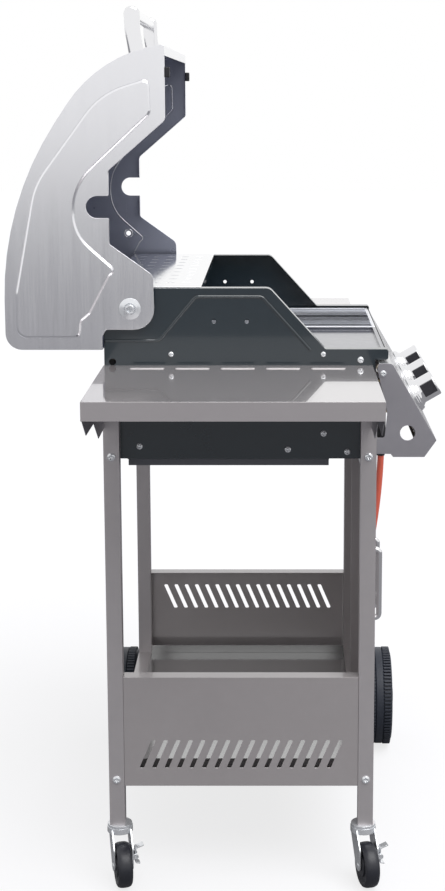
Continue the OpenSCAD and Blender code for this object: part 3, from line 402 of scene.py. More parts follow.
# %% Paints and enamels
firebox_enamel = finish_of(
    "firebox_enamel", PEEL, [(0.006, 0.016, 0.024), (0.009, 0.020, 0.029)],
    rough=(0.26, 0.34), metallic=0.0, skin={"Scale": 40, "Depth": 0.01},
    coat={"Coat Weight": 0.8, "Coat Roughness": 0.08, "Coat IOR": 1.55},
)
leg_coat = finish_of(
    "leg_coat", PEEL, [(0.50, 0.475, 0.485), (0.56, 0.53, 0.54)],
    rough=(0.30, 0.38), metallic=0.45, skin={"Scale": 60, "Depth": 0.01},
)
panel_coat = finish_of(
    "panel_coat", PEEL, [(0.45, 0.42, 0.425), (0.50, 0.47, 0.475)],
    rough=(0.30, 0.36), metallic=0.35, skin={"Scale": 60, "Depth": 0.01},
    coat={"Coat Weight": 0.6, "Coat Roughness": 0.05, "Coat IOR": 1.7},
)
bracket_coat = finish_of(
    "bracket_coat", PEEL, [(0.36, 0.35, 0.38), (0.42, 0.41, 0.44)],
    rough=(0.30, 0.40), metallic=0.6, skin={"Scale": 60, "Depth": 0.01},
)
shelf_coat = finish_of(
    "shelf_coat", PEEL, [(0.415, 0.385, 0.395), (0.46, 0.43, 0.44)],
    rough=(0.12, 0.18), metallic=0.1, skin={"Scale": 60, "Depth": 0.01},
    coat={"Coat Weight": 1.0, "Coat Roughness": 0.03, "Coat IOR": 2.3},
)
bottom_coat = finish_of(
    "bottom_coat", PEEL, [(0.40, 0.40, 0.40), (0.46, 0.46, 0.46)],
    rough=(0.10, 0.14), metallic=0.9, skin={"Scale": 20, "Depth": 0.004},
)
griddle_iron = finish_of(
    "griddle_iron", PEEL, [(0.035, 0.04, 0.065), (0.05, 0.055, 0.085)],
    rough=(0.26, 0.34), metallic=0.2, skin={"Scale": 60, "Depth": 0.02},
    coat={"Coat Weight": 0.8, "Coat Roughness": 0.12, "Coat IOR": 1.9},
)
# The cooking grate's pale blue-grey is a painted reflection: it stands in for the bright sheen on the far
# plate.
grate_iron = finish_of(
    "grate_iron", PEEL, [(0.74, 0.76, 0.82), (0.82, 0.84, 0.90)],
    rough=(0.30, 0.4), metallic=0.6, skin={"Scale": 60, "Depth": 0.01},
    coat={"Coat Weight": 0.8, "Coat Roughness": 0.10, "Coat IOR": 1.9},
)

# %% Plastics and rubbers
wheel_plastic = finish_of(
    "wheel_plastic", CAST, [(0.018, 0.023, 0.036), (0.030, 0.036, 0.052)],
    rough=(0.42, 0.58), metallic=0.0, skin={"Scale": 260, "Depth": 0.20},
)
tread_rubber = finish_of(
    "tread_rubber", CAST, [(0.014, 0.015, 0.022), (0.024, 0.026, 0.034)],
    rough=(0.34, 0.5), metallic=0.0, skin={"Scale": 340, "Depth": 0.18},
)
grip_plastic = finish_of(
    "grip_plastic", PEEL, [(0.018, 0.018, 0.024), (0.030, 0.030, 0.038)],
    rough=(0.30, 0.42), metallic=0.0, skin={"Scale": 500, "Depth": 0.12},
)
bumper_rubber = finish_of(
    "bumper_rubber", CAST, [(0.010, 0.010, 0.013), (0.018, 0.018, 0.022)],
    rough=(0.5, 0.65), metallic=0.0, skin={"Scale": 300, "Depth": 0.2},
)
hose_rubber = finish_of(
    "hose_rubber", PEEL, [(0.96, 0.17, 0.105), (1.0, 0.20, 0.13)],
    rough=(0.34, 0.46), metallic=0.0, skin={"Scale": 350, "Depth": 0.12},
    coat={"Coat Weight": 0.15, "Coat Roughness": 0.3},
)
regulator_metal = finish_of(
    "regulator_metal", CAST, [(0.10, 0.105, 0.115), (0.14, 0.145, 0.155)],
    rough=(0.34, 0.48), metallic=0.6, skin={"Scale": 260, "Depth": 0.25},
)
print("materials:", len(bpy.data.materials))


# %% Giving a finish
def give(obj, *finishes):
    obj.data.materials.clear()
    for made in finishes:
        obj.data.materials.append(made)
    return obj


# %% [markdown]
# ## Gas hose
# The hose is a fixed length of rubber. It drops straight from the elbow of the gas pipe, swings back
# past the right front leg, turns in a wide bend at the floor and lies there on its way to the
# regulator. A Bezier curve through points along that way is smooth in itself, and its own bevel gives
# it the round section, so it stays a true centreline of the real length.

# %% Hose route, in millimetres
HOSE_D = 13 * MM
HOSE_ROUTE = [
    (326, -282, 742), (326, -282, 706), (327, -282, 670), (328, -282, 635), (329, -282, 600),
    (330, -281, 565), (331, -279, 530), (332, -276, 495), (333, -272, 460), (334, -267, 425),
    (335, -261, 390), (336, -255, 355), (337, -249, 320), (337, -243, 285), (337, -238, 250),
    (337, -234, 215), (337, -231, 180), (337, -229, 150), (336, -228, 120), (336, -225, 90),
    (336, -215, 56), (335, -197, 29), (334, -172, 12), (333, -141, 7), (332, -107, 7),
    (330, -72, 7), (328, -37, 7), (326, -2, 7), (324, 33, 7), (322, 68, 7),
]


# %% A hose as a curve
def hose_curve(name, points, diameter):
    data = bpy.data.curves.new(name, "CURVE")
    data.dimensions = "3D"
    data.bevel_depth = diameter / 2
    data.bevel_resolution = 7
    data.resolution_u = 8
    data.use_fill_caps = True
    spline = data.splines.new("BEZIER")
    spline.bezier_points.add(len(points) - 1)
    for knot, point in zip(spline.bezier_points, points):
        knot.co = Vector(point) * MM
        knot.handle_left_type = knot.handle_right_type = "AUTO"
    obj = bpy.data.objects.new(name, data)
    scene.collection.objects.link(obj)
    return obj


# %% Hose and its sleeve
hose = give(hose_curve("hose", HOSE_ROUTE, HOSE_D), hose_rubber)
SLEEVE_D = 17.2 * MM
SLEEVE_ROUTE = [(326, -282, 746), (326, -282, 690), (328, -282, 635), (330, -281, 583)]
sleeve = give(hose_curve("hose_sleeve", SLEEVE_ROUTE, SLEEVE_D), bumper_rubber)
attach(sleeve, "cart")
seat(hose, "cart", "hose_rubber", "gas_hose")

# %% [markdown]
# ## Turned pieces
# Wheels, knobs, washers and the regulator are all bodies of revolution. A profile of radius and height
# is drawn as a line of points, and Spin turns it once about the axis, as a lathe does. The profile
# lists only its corners, and a bevel afterwards breaks the edges.


# %% Turning a profile
POINT_GAP = 0.01 * MM


def aim(direction):
    """Rotation that carries +Z onto the direction."""
    return Vector((0, 0, 1)).rotation_difference(Vector(direction)).to_matrix().to_4x4()


def turned(name, profile_mm, centre, axis, steps, edge_mm):
    data = bpy.data.meshes.new(name)
    points = [(r * MM, 0, h * MM) for r, h in profile_mm]
    closed = [(i, (i + 1) % len(points)) for i in range(len(points))]
    on_axis = [i for i, (r, _) in enumerate(profile_mm) if r == 0]
    edges = [e for e in closed if not (e[0] in on_axis and e[1] in on_axis)]
    data.from_pydata(points, edges, [])
    obj = bpy.data.objects.new(name, data)
    scene.collection.objects.link(obj)
    open_mesh(obj, "VERT")
    bpy.ops.mesh.select_all(action="SELECT")
    bpy.ops.mesh.spin(
        steps=steps, angle=2 * math.pi, center=(0, 0, 0), axis=(0, 0, 1), use_auto_merge=True
    )
    bpy.ops.mesh.select_all(action="SELECT")
    bpy.ops.mesh.remove_doubles(threshold=POINT_GAP)
    bpy.ops.mesh.normals_make_consistent(inside=False)
    close_mesh()
    obj.matrix_world = Matrix.Translation(Vector(centre)) @ aim(axis)
    settle(obj)
    round_edges(obj, edge_mm * MM)
    return obj


# %% Joining finished pieces
def joined(name, parts):
    """One object from several finished ones."""
    for part in parts:
        apply_all(part)
    bpy.ops.object.select_all(action="DESELECT")
    for part in parts:
        part.select_set(True)
    bpy.context.view_layer.objects.active = parts[0]
    bpy.ops.object.join()
    parts[0].name = name
    parts[0].data.name = name
    return parts[0]


# %% Regulator at the end of the hose
hose_end = Vector(HOSE_ROUTE[-1]) * MM
reg_low, reg_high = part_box("regulator")
reg_x = (reg_low.x + reg_high.x) / 2
REG_CENTRE_IN = 38 * MM
reg_y = reg_low.y + REG_CENTRE_IN
OUTLET_LONG_MM = 17
OUTLET_HIGH = 12 * MM
reg_body = turned(
    "regulator_body",
    [(0, 0), (24, 0), (26, 4), (26, 18), (23, 23), (15.6, 24.5), (14, 29.5), (0, 30)],
    (reg_x, reg_y, 0), (0, 0, 1), steps=48, edge_mm=0.8,
)
reg_neck = turned(
    "regulator_neck",
    [(0, 0), (6.2, 0), (6.2, 11), (6.8, 12), (6.8, 18), (6.5, 19), (6.5, 24), (0, 24)],
    (reg_x, reg_low.y, hose_end.z), (0, 1, 0), steps=32, edge_mm=0.3,
)
reg_outlet = turned(
    "regulator_outlet",
    [(0, 0), (8, 0), (8, 6), (11, 7), (11, 16), (8, OUTLET_LONG_MM), (0, OUTLET_LONG_MM)],
    (reg_x, reg_high.y - OUTLET_LONG_MM * MM, OUTLET_HIGH), (0, 1, 0), steps=6, edge_mm=0.5,
)
regulator = joined("regulator_assembly", [reg_body, reg_neck, reg_outlet])
give(regulator, regulator_metal)
seat(regulator, "cart", "regulator_zinc", "regulator")
print("regulator from y:", round(reg_low.y, 3), "to:", round(reg_high.y, 3))

# %% [markdown]
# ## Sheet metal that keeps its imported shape
# Most of the grill is folded sheet. Its outline, holes and slots are already right, so these nodes
# keep their mesh and get the paint or steel of the real piece and a small radius on each edge.

# %% Dressing the sheet metal
SHEET_EDGE = 0.35 * MM
DRESSED = [
    (leg_coat, 0.6 * MM, ["leg_front_left", "leg_front_right", "leg_rear_left", "leg_rear_right"]),
    (panel_coat, SHEET_EDGE, ["side_panel_left", "side_panel_right", "cross_rails"]),
    (panel_coat, SHEET_EDGE, ["door_left", "door_right"]),
    (bottom_coat, SHEET_EDGE, ["bottom_shelf"]),
    (firebox_enamel, SHEET_EDGE, ["firebox_front", "firebox_back", "firebox_floor"]),
    (burner_steel, SHEET_EDGE, ["burners", "heat_plates"]),
    (tray_steel, SHEET_EDGE, ["grease_tray"]),
    (rack_steel, SHEET_EDGE, ["warming_rack"]),
    (bracket_coat, SHEET_EDGE, ["control_bracket_left", "control_bracket_right"]),
    (bracket_coat, SHEET_EDGE, ["shelf_brackets"]),
    (panel_steel, SHEET_EDGE, ["control_panel"]),
    (gas_brass, 0.5 * MM, ["manifold", "valves"]),
    (bright_zinc, 0.3 * MM, ["stem_left", "stem_middle", "stem_right", "axle", "door_pins"]),
    (bright_zinc, 0.5 * MM, ["caster_plates", "caster_fork_front", "caster_fork_rear"]),
    (bright_zinc, 0.4 * MM, ["caster_brake_front", "caster_brake_rear"]),
    (shelf_coat, 0.55 * MM, ["shelf_left", "shelf_right"]),
    (bumper_rubber, 1.5 * MM, ["lid_bumpers"]),
    (griddle_iron, 0.8 * MM, ["griddle_plate"]),
    # The cooking grate's pale colour is a painted reflection.
    (grate_iron, 0.8 * MM, ["cooking_grate"]),
    (chrome, 4.5 * MM, ["handle_posts"]),
    (rack_steel, 1.0 * MM, ["handle_bar"]),
    (hood_skin_steel, 0.4 * MM, ["hood_skin"]),
]
for finish, edge, names in DRESSED:
    for node in names:
        give(nodes[node], finish)
        soften(node, edge)
print("dressed nodes:", sum(len(names) for _, _, names in DRESSED))

# %% [markdown]
# ## Pressed plates
# Each side of the hood has a field pressed outwards, and each side of the firebox a bead. The packed
# plates have them as plain steps. Insetting the raised face leaves its flat top, and moving the old
# outline down to the plate turns the step into a slope, which catches the light as a fine line. The
# same border runs along the back of the hood's field, since pressed sheet shows its form on both sides;
# there it is a rounded line of the lighter panel steel, a painted highlight on the hood's dark inside.
# A bevelled face with notches and holes in it can close over them, so the back of the hood's plate is
# split into triangles before its edges are rounded. Outside, the hood's steel is brushed. Inside, a
# darker blue-grey steel is painted shade: it stands in for the shade and dark reflections inside the
# hood.


# %% Pressing a raised face
FACING = 0.99
LEVEL_GAP = 0.05 * MM


def raised_faces(plate, level):
    def raised(face):
        return abs(face.normal.x) > FACING and abs(face.calc_center_median().x - level) < LEVEL_GAP

    return pick(plate, raised)


def press(plate, level, side, slope, drop):
    open_mesh(plate)
    faces = raised_faces(plate, level)
    bpy.ops.mesh.inset(thickness=slope, depth=0)
    mesh = bmesh.from_edit_mesh(plate.data)
    top = {v.index for f in mesh.faces if f.select for v in f.verts}
    bpy.ops.mesh.select_mode(type="VERT")
    bpy.ops.mesh.select_all(action="DESELECT")
    moved = pick(plate, lambda v: abs(v.co.x - level) < LEVEL_GAP and v.index not in top, "verts")
    bpy.ops.transform.translate(value=(-side * drop, 0, 0))
    close_mesh()
    print(plate.name, "raised faces:", faces, "border points:", moved)


def split_back(plate, side):
    """Triangles on the plate's back, so that its notches and holes stay open when bevelled."""
    open_mesh(plate)
    pick(plate, lambda f: f.normal.x * side < -FACING)
    bpy.ops.mesh.quads_convert_to_tris(quad_method="BEAUTY", ngon_method="BEAUTY")
    close_mesh()


# %% The pressed border on a plate's back, with a painted highlight
PLATE_DEEP = 3.7 * MM
LINE_R = 0.9 * MM


def painted_highlight_line(plate, level, side):
    """The pressed border as it shows on the plate's back: a fine rounded line, in the lighter panel steel
    as a painted highlight.
    """
    open_mesh(plate)
    raised_faces(plate, level)
    bpy.ops.mesh.duplicate()
    bpy.ops.mesh.separate(type="SELECTED")
    close_mesh()
    line = [obj for obj in bpy.context.selected_objects if obj != plate][0]
    open_mesh(line, "EDGE")
    if pick(line, lambda e: len(e.link_faces) == 2, "edges"):
        bpy.ops.mesh.delete(type="EDGE_FACE")
    bpy.ops.mesh.select_all(action="SELECT")
    bpy.ops.mesh.delete(type="ONLY_FACE")
    bpy.ops.mesh.select_all(action="SELECT")
    bpy.ops.transform.translate(value=(-side * PLATE_DEEP, 0, 0))
    close_mesh()
    activate(line)
    bpy.ops.object.convert(target="CURVE")
    line.data.bevel_depth = LINE_R
    line.data.bevel_resolution = 2
    bpy.ops.object.convert(target="MESH")
    line.data.shade_smooth()
    # The lighter panel steel on the hood's dark inside is a painted highlight along the pressed border.
    return give(line, panel_steel)


# %% Hood sides
FIELD_SLOPE = 3.2 * MM
FIELD_DROP = 2.3 * MM
HOOD_EDGE = 0.5 * MM
INSIDE_TURN = -0.3


def hood_plate(node, side):
    plate = copy_of(node, node + "_pressed")
    low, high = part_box(node)
    level = high.x if side > 0 else low.x
    press(plate, level, side, FIELD_SLOPE, FIELD_DROP)
    line = painted_highlight_line(plate, level, side)
    # Faces turned in towards the hood's hollow get the darker steel, painted shade of the hood's inside.
    give(plate, hood_side_steel, hood_lining)
    for face in plate.data.polygons:
        face.material_index = 1 if face.normal.x * side < INSIDE_TURN else 0
    split_back(plate, side)
    round_edges(plate, HOOD_EDGE)
    seat(joined(node + "_pressed", [plate, line]), "hood", "hood_steel", node)


hood_plate("hood_left", -1)
hood_plate("hood_right", 1)


# %% Firebox sides
BEAD_SLOPE = 1.7 * MM
BEAD_DROP = 1.3 * MM
FIREBOX_EDGE = 0.45 * MM


def firebox_plate(node, side):
    plate = copy_of(node, node + "_beaded")
    low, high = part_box(node)
    press(plate, high.x if side > 0 else low.x, side, BEAD_SLOPE, BEAD_DROP)
    give(plate, firebox_enamel)
    round_edges(plate, FIREBOX_EDGE)
    seat(plate, "cart", "firebox_enamel", node)


firebox_plate("firebox_left", -1)
firebox_plate("firebox_right", 1)

# %% Painted shade inside the hood's skin
# The hood's hollow lies round a line behind and above its hinge, given here in metres.
HOLLOW_FROM_HINGE = (0, 0.08, 0.17)
SHADE_TURN = 0.35
pivot = Vector(joints["lid_hinge"]["pos_m"])
hood_middle = pivot + Vector(HOLLOW_FROM_HINGE)
# Faces that face the hollow get the darker steel, painted shade of the hood's inside.
give(nodes["hood_skin"], hood_skin_steel, hood_lining)
for face in nodes["hood_skin"].data.polygons:
    inwards = hood_middle - face.center
    inwards.x = 0
    face.material_index = 1 if face.normal.dot(inwards.normalized()) > SHADE_TURN else 0
painted_shade_faces = sum(face.material_index for face in nodes["hood_skin"].data.polygons)
print("faces with the lining:", painted_shade_faces)

# %% [markdown]
# ## Screws
# A round-head screw is a dome with a cross pressed into it. It is turned once, the cross is cut by two
# thin blades, and the same mesh is then set at the place of every packed screw. Two smaller ones low
# on each side of the firebox aren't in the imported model, so their places are measured from the picture.


# %% A screw head with its cross
# The dome's outline and the blades' sizes are shares of the head's radius and height.
DOME = [(1, 0), (1, 0.22), (0.9, 0.6), (0.62, 0.9), (0, 1)]
BLADE_LONG = 1.1
BLADE_WIDE = 0.32


def cross_head(name, radius, height, depth, shank_r, shank):
    """A head on its shank, pointing up from the origin, with all its sizes in millimetres."""
    profile = [(0, -shank), (shank_r, -shank), (shank_r, 0)]
    profile += [(r * radius, h * height) for r, h in DOME]
    head = turned(name, profile, (0, 0, 0), (0, 0, 1), steps=32, edge_mm=0.12)
    apply_all(head)
    for turn in (0, math.pi / 2):
        bpy.ops.mesh.primitive_cube_add(size=1, location=(0, 0, height * MM), rotation=(0, 0, turn))
        blade = bpy.context.object
        blade.scale = (radius * BLADE_LONG * MM, radius * BLADE_WIDE * MM, 2 * depth * MM)
        settle(blade)
        add_modifier(head, "BOOLEAN", operation="DIFFERENCE", solver="EXACT", object=blade)
        apply_all(head)
        bpy.data.objects.remove(blade)
    return head


# %% Setting copies of a screw
def set_screws(name, template, places, body, replaced):
    """Copies of the template at each (point, outward direction, size)."""
    copies = []
    for point, outwards, size in places:
        screw = bpy.data.objects.new(name, template.data.copy())
        scene.collection.objects.link(screw)
        screw.matrix_world = Matrix.Translation(point) @ aim(outwards) @ Matrix.Diagonal(
            (size, size, 1, 1)
        )
        settle(screw)
        copies.append(screw)
    bpy.data.objects.remove(template)
    whole = joined(name, copies)
    whole.data.shade_smooth()
    add_modifier(whole, "WEIGHTED_NORMAL", keep_sharp=True)
    give(whole, bright_zinc)
    return seat(whole, body, "zinc", *replaced)


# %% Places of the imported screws
SCREW_R_MM = 6.9
SCREW_HEAD_MM = 3.4
screw_places = []
for low, high in solids_of("screws"):
    side = 1 if high.x > 0 else -1
    radius = (high.y - low.y) / 2
    outer = (high.x if side > 0 else low.x) - side * SCREW_HEAD_MM * MM
    point = Vector((outer, (low.y + high.y) / 2, (low.z + high.z) / 2))
    screw_places.append((point, (side, 0, 0), radius / (SCREW_R_MM * MM)))
print("packed screws:", len(screw_places))

# %% Places of the firebox's smaller screws
# Y and Z of the two smaller screws on each firebox side. The node's box ends at the pressed bead, and
# the screws sit that much further in, on the plate.
RAIL_SCREWS_MM = [(92, 881), (-149, 881)]
RAIL_SCREW_SIZE = 0.62
BEAD_HIGH = 1.2 * MM
for side, node in ((-1, "firebox_left"), (1, "firebox_right")):
    low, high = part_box(node)
    face = (high.x if side > 0 else low.x) - side * BEAD_HIGH
    for y, z in RAIL_SCREWS_MM:
        screw_places.append((Vector((face, y * MM, z * MM)), (side, 0, 0), RAIL_SCREW_SIZE))
print("screws:", len(screw_places))

# %% All the screws
SCREW_CROSS_MM = 2.3
SCREW_SHANK_R_MM = 3
SCREW_SHANK_MM = 4
template = cross_head(
    "screw_head", SCREW_R_MM, SCREW_HEAD_MM, SCREW_CROSS_MM, SCREW_SHANK_R_MM, SCREW_SHANK_MM
)
screws = set_screws("round_screws", template, screw_places, "cart", ["screws"])
print("faces of the screws:", len(screws.data.polygons))

# %% [markdown]
# ## Hinge hardware
# The hood turns on two bolts with the same cross as the screws. A spacer keeps each side of the hood
# off the firebox, and a dished washer under the bolt's head catches the light as a bright ring. All of
# them are turned, and a turn of six steps makes a six-sided nut.

# %% Hinge sizes
BOLT_HEAD_MM = 4.2
BOLT_R_MM = 7.4
BOLT_CROSS_MM = 2.0
BOLT_SHANK_R_MM = 5
BOLT_SHANK_MM = 21
SPACER_IN = 19.4 * MM
SPACER_R_MM = 9
SPACER_LONG_MM = 11.3
NUT_R_MM = 8
NUT_HIGH_MM = 5


# %% Hinge bolts
def tube_profile(inner, outer, long):
    return [(inner, 0), (outer, 0), (outer, long), (inner, long)]


bolt_low, bolt_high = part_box("hinge_bolts")
bolt_parts = []
for side in (-1, 1):
    head = cross_head(
        "bolt_head", BOLT_R_MM, BOLT_HEAD_MM, BOLT_CROSS_MM, BOLT_SHANK_R_MM, BOLT_SHANK_MM
    )
    at = Vector((side * (bolt_high.x - BOLT_HEAD_MM * MM), pivot.y, pivot.z))
    head.matrix_world = Matrix.Translation(at) @ aim((side, 0, 0))
    bolt_parts.append(settle(head))
    bolt_parts.append(turned(
        "spacer", tube_profile(BOLT_SHANK_R_MM, SPACER_R_MM, SPACER_LONG_MM),
        (side * (bolt_high.x - SPACER_IN), pivot.y, pivot.z), (side, 0, 0), steps=32, edge_mm=0.3,
    ))
    bolt_parts.append(turned(
        "nut", tube_profile(BOLT_SHANK_R_MM, NUT_R_MM, NUT_HIGH_MM),
        (-side * bolt_low.x, pivot.y, pivot.z), (side, 0, 0), steps=6, edge_mm=0.4,
    ))
bolts = give(joined("bolts", bolt_parts), bright_zinc)
seat(bolts, "cart", "zinc", "hinge_bolts")
print("parts of the bolts:", len(bolt_parts))

# %% Dished washers
WASHER_HIGH_MM = 1.5
WASHER_PROFILE = [
    (5.1, 0), (17, 0), (17, 0.35), (16.4, 0.6), (9.6, WASHER_HIGH_MM), (8.8, WASHER_HIGH_MM),
    (8.2, 0.4), (5.1, 0.4),
]
washer_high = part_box("hinge_washers")[1]
washers = []
for side in (-1, 1):
    washers.append(turned(
        "washer", WASHER_PROFILE, (side * (washer_high.x - WASHER_HIGH_MM * MM), pivot.y, pivot.z),
        (side, 0, 0), steps=64, edge_mm=0.15,
    ))
seat(give(joined("dished_washers", washers), bright_zinc), "hood", "zinc", "hinge_washers")
print("washers:", len(washers))

# %% [markdown]
# ## Knobs and bezels
# A knob is a turned chrome body with a long dark inset let into either side. The inset's seat is cut
# flat by a block, and a rounded dark plate fills it. The bezel round it is a set of turned rings.

# %% Knob and bezel profiles, in millimetres out from the axis and above the panel
KNOB_PROFILE = [
    (4.05, 6.8), (23.4, 6.8), (24, 7.4), (24, 9.6), (22.8, 11.2), (21.6, 12.4), (21, 13.8),
    (21, 42.4), (19.6, 43.8), (17.6, 43.8), (17.2, 43.2), (0, 43.2), (0, 18), (4.05, 18),
]
BEZEL_PROFILE = [
    (12.1, 0), (30, 0), (30, 3.4), (29.2, 4.2), (28.8, 4.2), (28.8, 6.6), (28, 7.3), (27.6, 7.3),
    (27, 8.5), (25.6, 8.5), (25, 7.9), (25, 3), (12.1, 3),
]
INSET_FLAT_MM = 17.4
INSET_MIDDLE_MM = 29
INSET_LONG_MM = 23
INSET_PROUD_MM = 0.2
INSET_PLATE_MM = (1.8, 21.6, INSET_LONG_MM)
SEAT_CUT_MM = (10, 30, INSET_LONG_MM + 1)
INSET_EDGE = 0.7 * MM
knob_dir = Vector(joints["knob_left_turn"]["axis"]).normalized()
if knob_dir.y > 0:
    knob_dir = -knob_dir
down_face = knob_dir.cross(Vector((1, 0, 0))).normalized()


def block(name, centre, size_mm):
    """A box whose sides run along X, down the panel and out of it."""
    bpy.ops.mesh.primitive_cube_add(size=1)
    box = bpy.context.object
    box.name = name
    turn = Matrix((Vector((1, 0, 0)), down_face, knob_dir)).transposed().to_4x4()
    scale = Matrix.Diagonal((*[s * MM for s in size_mm], 1))
    box.matrix_world = Matrix.Translation(centre) @ turn @ scale
    return settle(box)


# %% The three knobs and their bezels
def make_knob(which):
    """Makes the knob, and gives back the bezel that lies round it."""
    at = Vector(joints[f"knob_{which}_turn"]["pos_m"])
    name = "knob_" + which + "_body"
    body = turned(name, KNOB_PROFILE, at, knob_dir, steps=64, edge_mm=0.35)
    apply_all(body)
    give(body, chrome)
    inset_height = at + knob_dir * INSET_MIDDLE_MM * MM
    plates = []
    for side in (-1, 1):
        sideways = Vector((side * MM, 0, 0))
        cutter_middle = inset_height + sideways * (INSET_FLAT_MM + SEAT_CUT_MM[0] / 2)
        cutter = block("cutter", cutter_middle, SEAT_CUT_MM)
        add_modifier(body, "BOOLEAN", operation="DIFFERENCE", solver="EXACT", object=cutter)
        apply_all(body)
        bpy.data.objects.remove(cutter)
        plate_middle = inset_height + sideways * (INSET_FLAT_MM + INSET_PROUD_MM)
        plate = block("inset", plate_middle, INSET_PLATE_MM)
        round_edges(plate, INSET_EDGE, segments=3)
        plates.append(give(plate, grip_plastic))
    knob = joined("knob_" + which + "_dressed", [body] + plates)
    seat(knob, "knob_" + which, "chrome", "knob_" + which)
    return turned("bezel_" + which, BEZEL_PROFILE, at, knob_dir, steps=64, edge_mm=0.2)


rings = [make_knob(which) for which in ("left", "middle", "right")]
seat(give(joined("bezel_rings", rings), chrome), "cart", "chrome", "bezels")
print("knobs with bezels:", len(rings), "facing:", [round(c, 3) for c in knob_dir])

# %% [markdown]
# ## Wheels
# The large wheels are moulded: a turned body, two rows of tread lugs set round it by Spin with
# duplicates, and stiffening ribs on both faces. The casters' wheels are turned with a rounded tread.


# %% Boxes round a wheel
LUG_EDGE = 0.7 * MM


def around(name, size_mm, centre_mm, count, axis_point, start):
    """Boxes repeated round a Y axis; the centre is given outwards from it and along it."""
    bpy.ops.mesh.primitive_cube_add(size=1)
    lug = bpy.context.object
    lug.name = name
    lug.scale = [s * MM for s in size_mm]
    lug.location = Vector(axis_point) + Vector((0, centre_mm[1] * MM, centre_mm[0] * MM))
    settle(lug)
    open_mesh(lug)
    bpy.ops.mesh.select_all(action="SELECT")
    bpy.ops.transform.rotate(value=start, orient_axis="Y", center_override=axis_point)
    bpy.ops.mesh.spin(
        steps=count, angle=2 * math.pi, dupli=True, center=axis_point, axis=(0, 1, 0)
    )
    bpy.ops.mesh.select_all(action="SELECT")
    bpy.ops.mesh.remove_doubles(threshold=POINT_GAP)
    close_mesh()
    round_edges(lug, LUG_EDGE)
    return lug


# %% Large wheels
# Sizes in millimetres, each place as its distance from the axle's line and along it.
LUGS = 84
LUG_MM = (4.2, 14, 6)
LUG_OUT_MM = 93
LUG_ROWS_MM = (9.5, 40.5)
RIBS = 6
RIB_MM = (7, 5, 54)
RIB_OUT_MM = 50
RIB_ROWS_MM = (6.5, 41.5)
RIB_TURN = 0.2
WHEEL_PROFILE = [
    (5.1, 0), (24, 0), (24, 10), (76, 5), (79, 1.5), (86, 0), (91, 3), (92.6, 8), (92.6, 17),
    (95, 18.5), (95, 31.5), (92.6, 33), (92.6, 42), (91, 47), (86, 50), (79, 48.5), (76, 44),
    (27, 39), (25, 50), (20, 50), (19, 55), (0, 55), (0, 53), (5.1, 53),
]


def make_wheel(end):
    node = "wheel_" + end
    low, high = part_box(node)
    out = -1 if end == "front" else 1
    inner_y = high.y if out < 0 else low.y
    spin_at = joints[node + "_spin"]["pos_m"]
    hub = (spin_at[0], inner_y, spin_at[2])
    parts = [turned(node + "_body", WHEEL_PROFILE, hub, (0, out, 0), steps=96, edge_mm=0.8)]
    # The second row of lugs stands half a lug further round than the first.
    for row, along in enumerate(LUG_ROWS_MM):
        start = row * math.pi / LUGS
        parts.append(around("lugs", LUG_MM, (LUG_OUT_MM, out * along), LUGS, hub, start))
    for along in RIB_ROWS_MM:
        parts.append(around("ribs", RIB_MM, (RIB_OUT_MM, out * along), RIBS, hub, RIB_TURN))
    wheel = give(joined(node + "_moulded", parts), wheel_plastic)
    seat(wheel, node, "wheel_plastic", node)
    print(node, "faces:", len(wheel.data.polygons))


make_wheel("front")
make_wheel("rear")


# %% Caster wheels
CASTER_W_MM = 25
CASTER_PROFILE = [
    (4.05, 0), (17, 0), (18.5, 0.8), (18.5, 3), (27, 3), (29.5, 0.6), (32.5, 0.6), (35, 2.4),
    (36.4, 5.6), (36.9, 9), (37, 12.5), (36.9, 16), (36.4, 19.4), (35, 22.6), (32.5, 24.4),
    (29.5, 24.4), (27, 22), (18.5, 22), (18.5, 24.2), (17, CASTER_W_MM), (4.05, CASTER_W_MM),
]


def make_caster_wheel(end):
    node = "caster_wheel_" + end
    spin = joints["caster_" + end + "_spin"]
    axis = Vector(spin["axis"])
    start = Vector(spin["pos_m"]) - axis * CASTER_W_MM / 2 * MM
    tyre = turned(node + "_tyre", CASTER_PROFILE, start, axis, steps=64, edge_mm=0.3)
    seat(give(tyre, tread_rubber), node, "caster_rubber", node)
    print(node, "faces:", len(tyre.data.polygons))


make_caster_wheel("front")
make_caster_wheel("rear")

# %% [markdown]
# ## Door handles
# A handle is one bar bent twice. A poly curve through rounded corners with a round bevel gives the
# bends, and is then turned into a mesh.


# %% Bent bars
def bent_bar(name, corners_mm, radius_mm, bend_mm, steps=8):
    """A round bar through the corners, each of which it rounds from bend_mm before to bend_mm after."""
    points = [Vector(corners_mm[0])]
    for before, corner, after in zip(corners_mm, corners_mm[1:], corners_mm[2:]):
        corner = Vector(corner)
        start = corner + (Vector(before) - corner).normalized() * bend_mm
        end = corner + (Vector(after) - corner).normalized() * bend_mm
        for i in range(steps + 1):
            s = i / steps
            points.append(start * (1 - s) ** 2 + corner * 2 * s * (1 - s) + end * s ** 2)
    points.append(Vector(corners_mm[-1]))
    data = bpy.data.curves.new(name, "CURVE")
    data.dimensions = "3D"
    data.bevel_depth = radius_mm * MM
    data.bevel_resolution = 6
    data.use_fill_caps = True
    spline = data.splines.new("POLY")
    spline.points.add(len(points) - 1)
    for knot, point in zip(spline.points, points):
        knot.co = (*(point * MM), 1)
    bar = bpy.data.objects.new(name, data)
    scene.collection.objects.link(bar)
    activate(bar)
    bpy.ops.object.convert(target="MESH")
    bar = bpy.context.object
    bar.data.shade_smooth()
    return bar


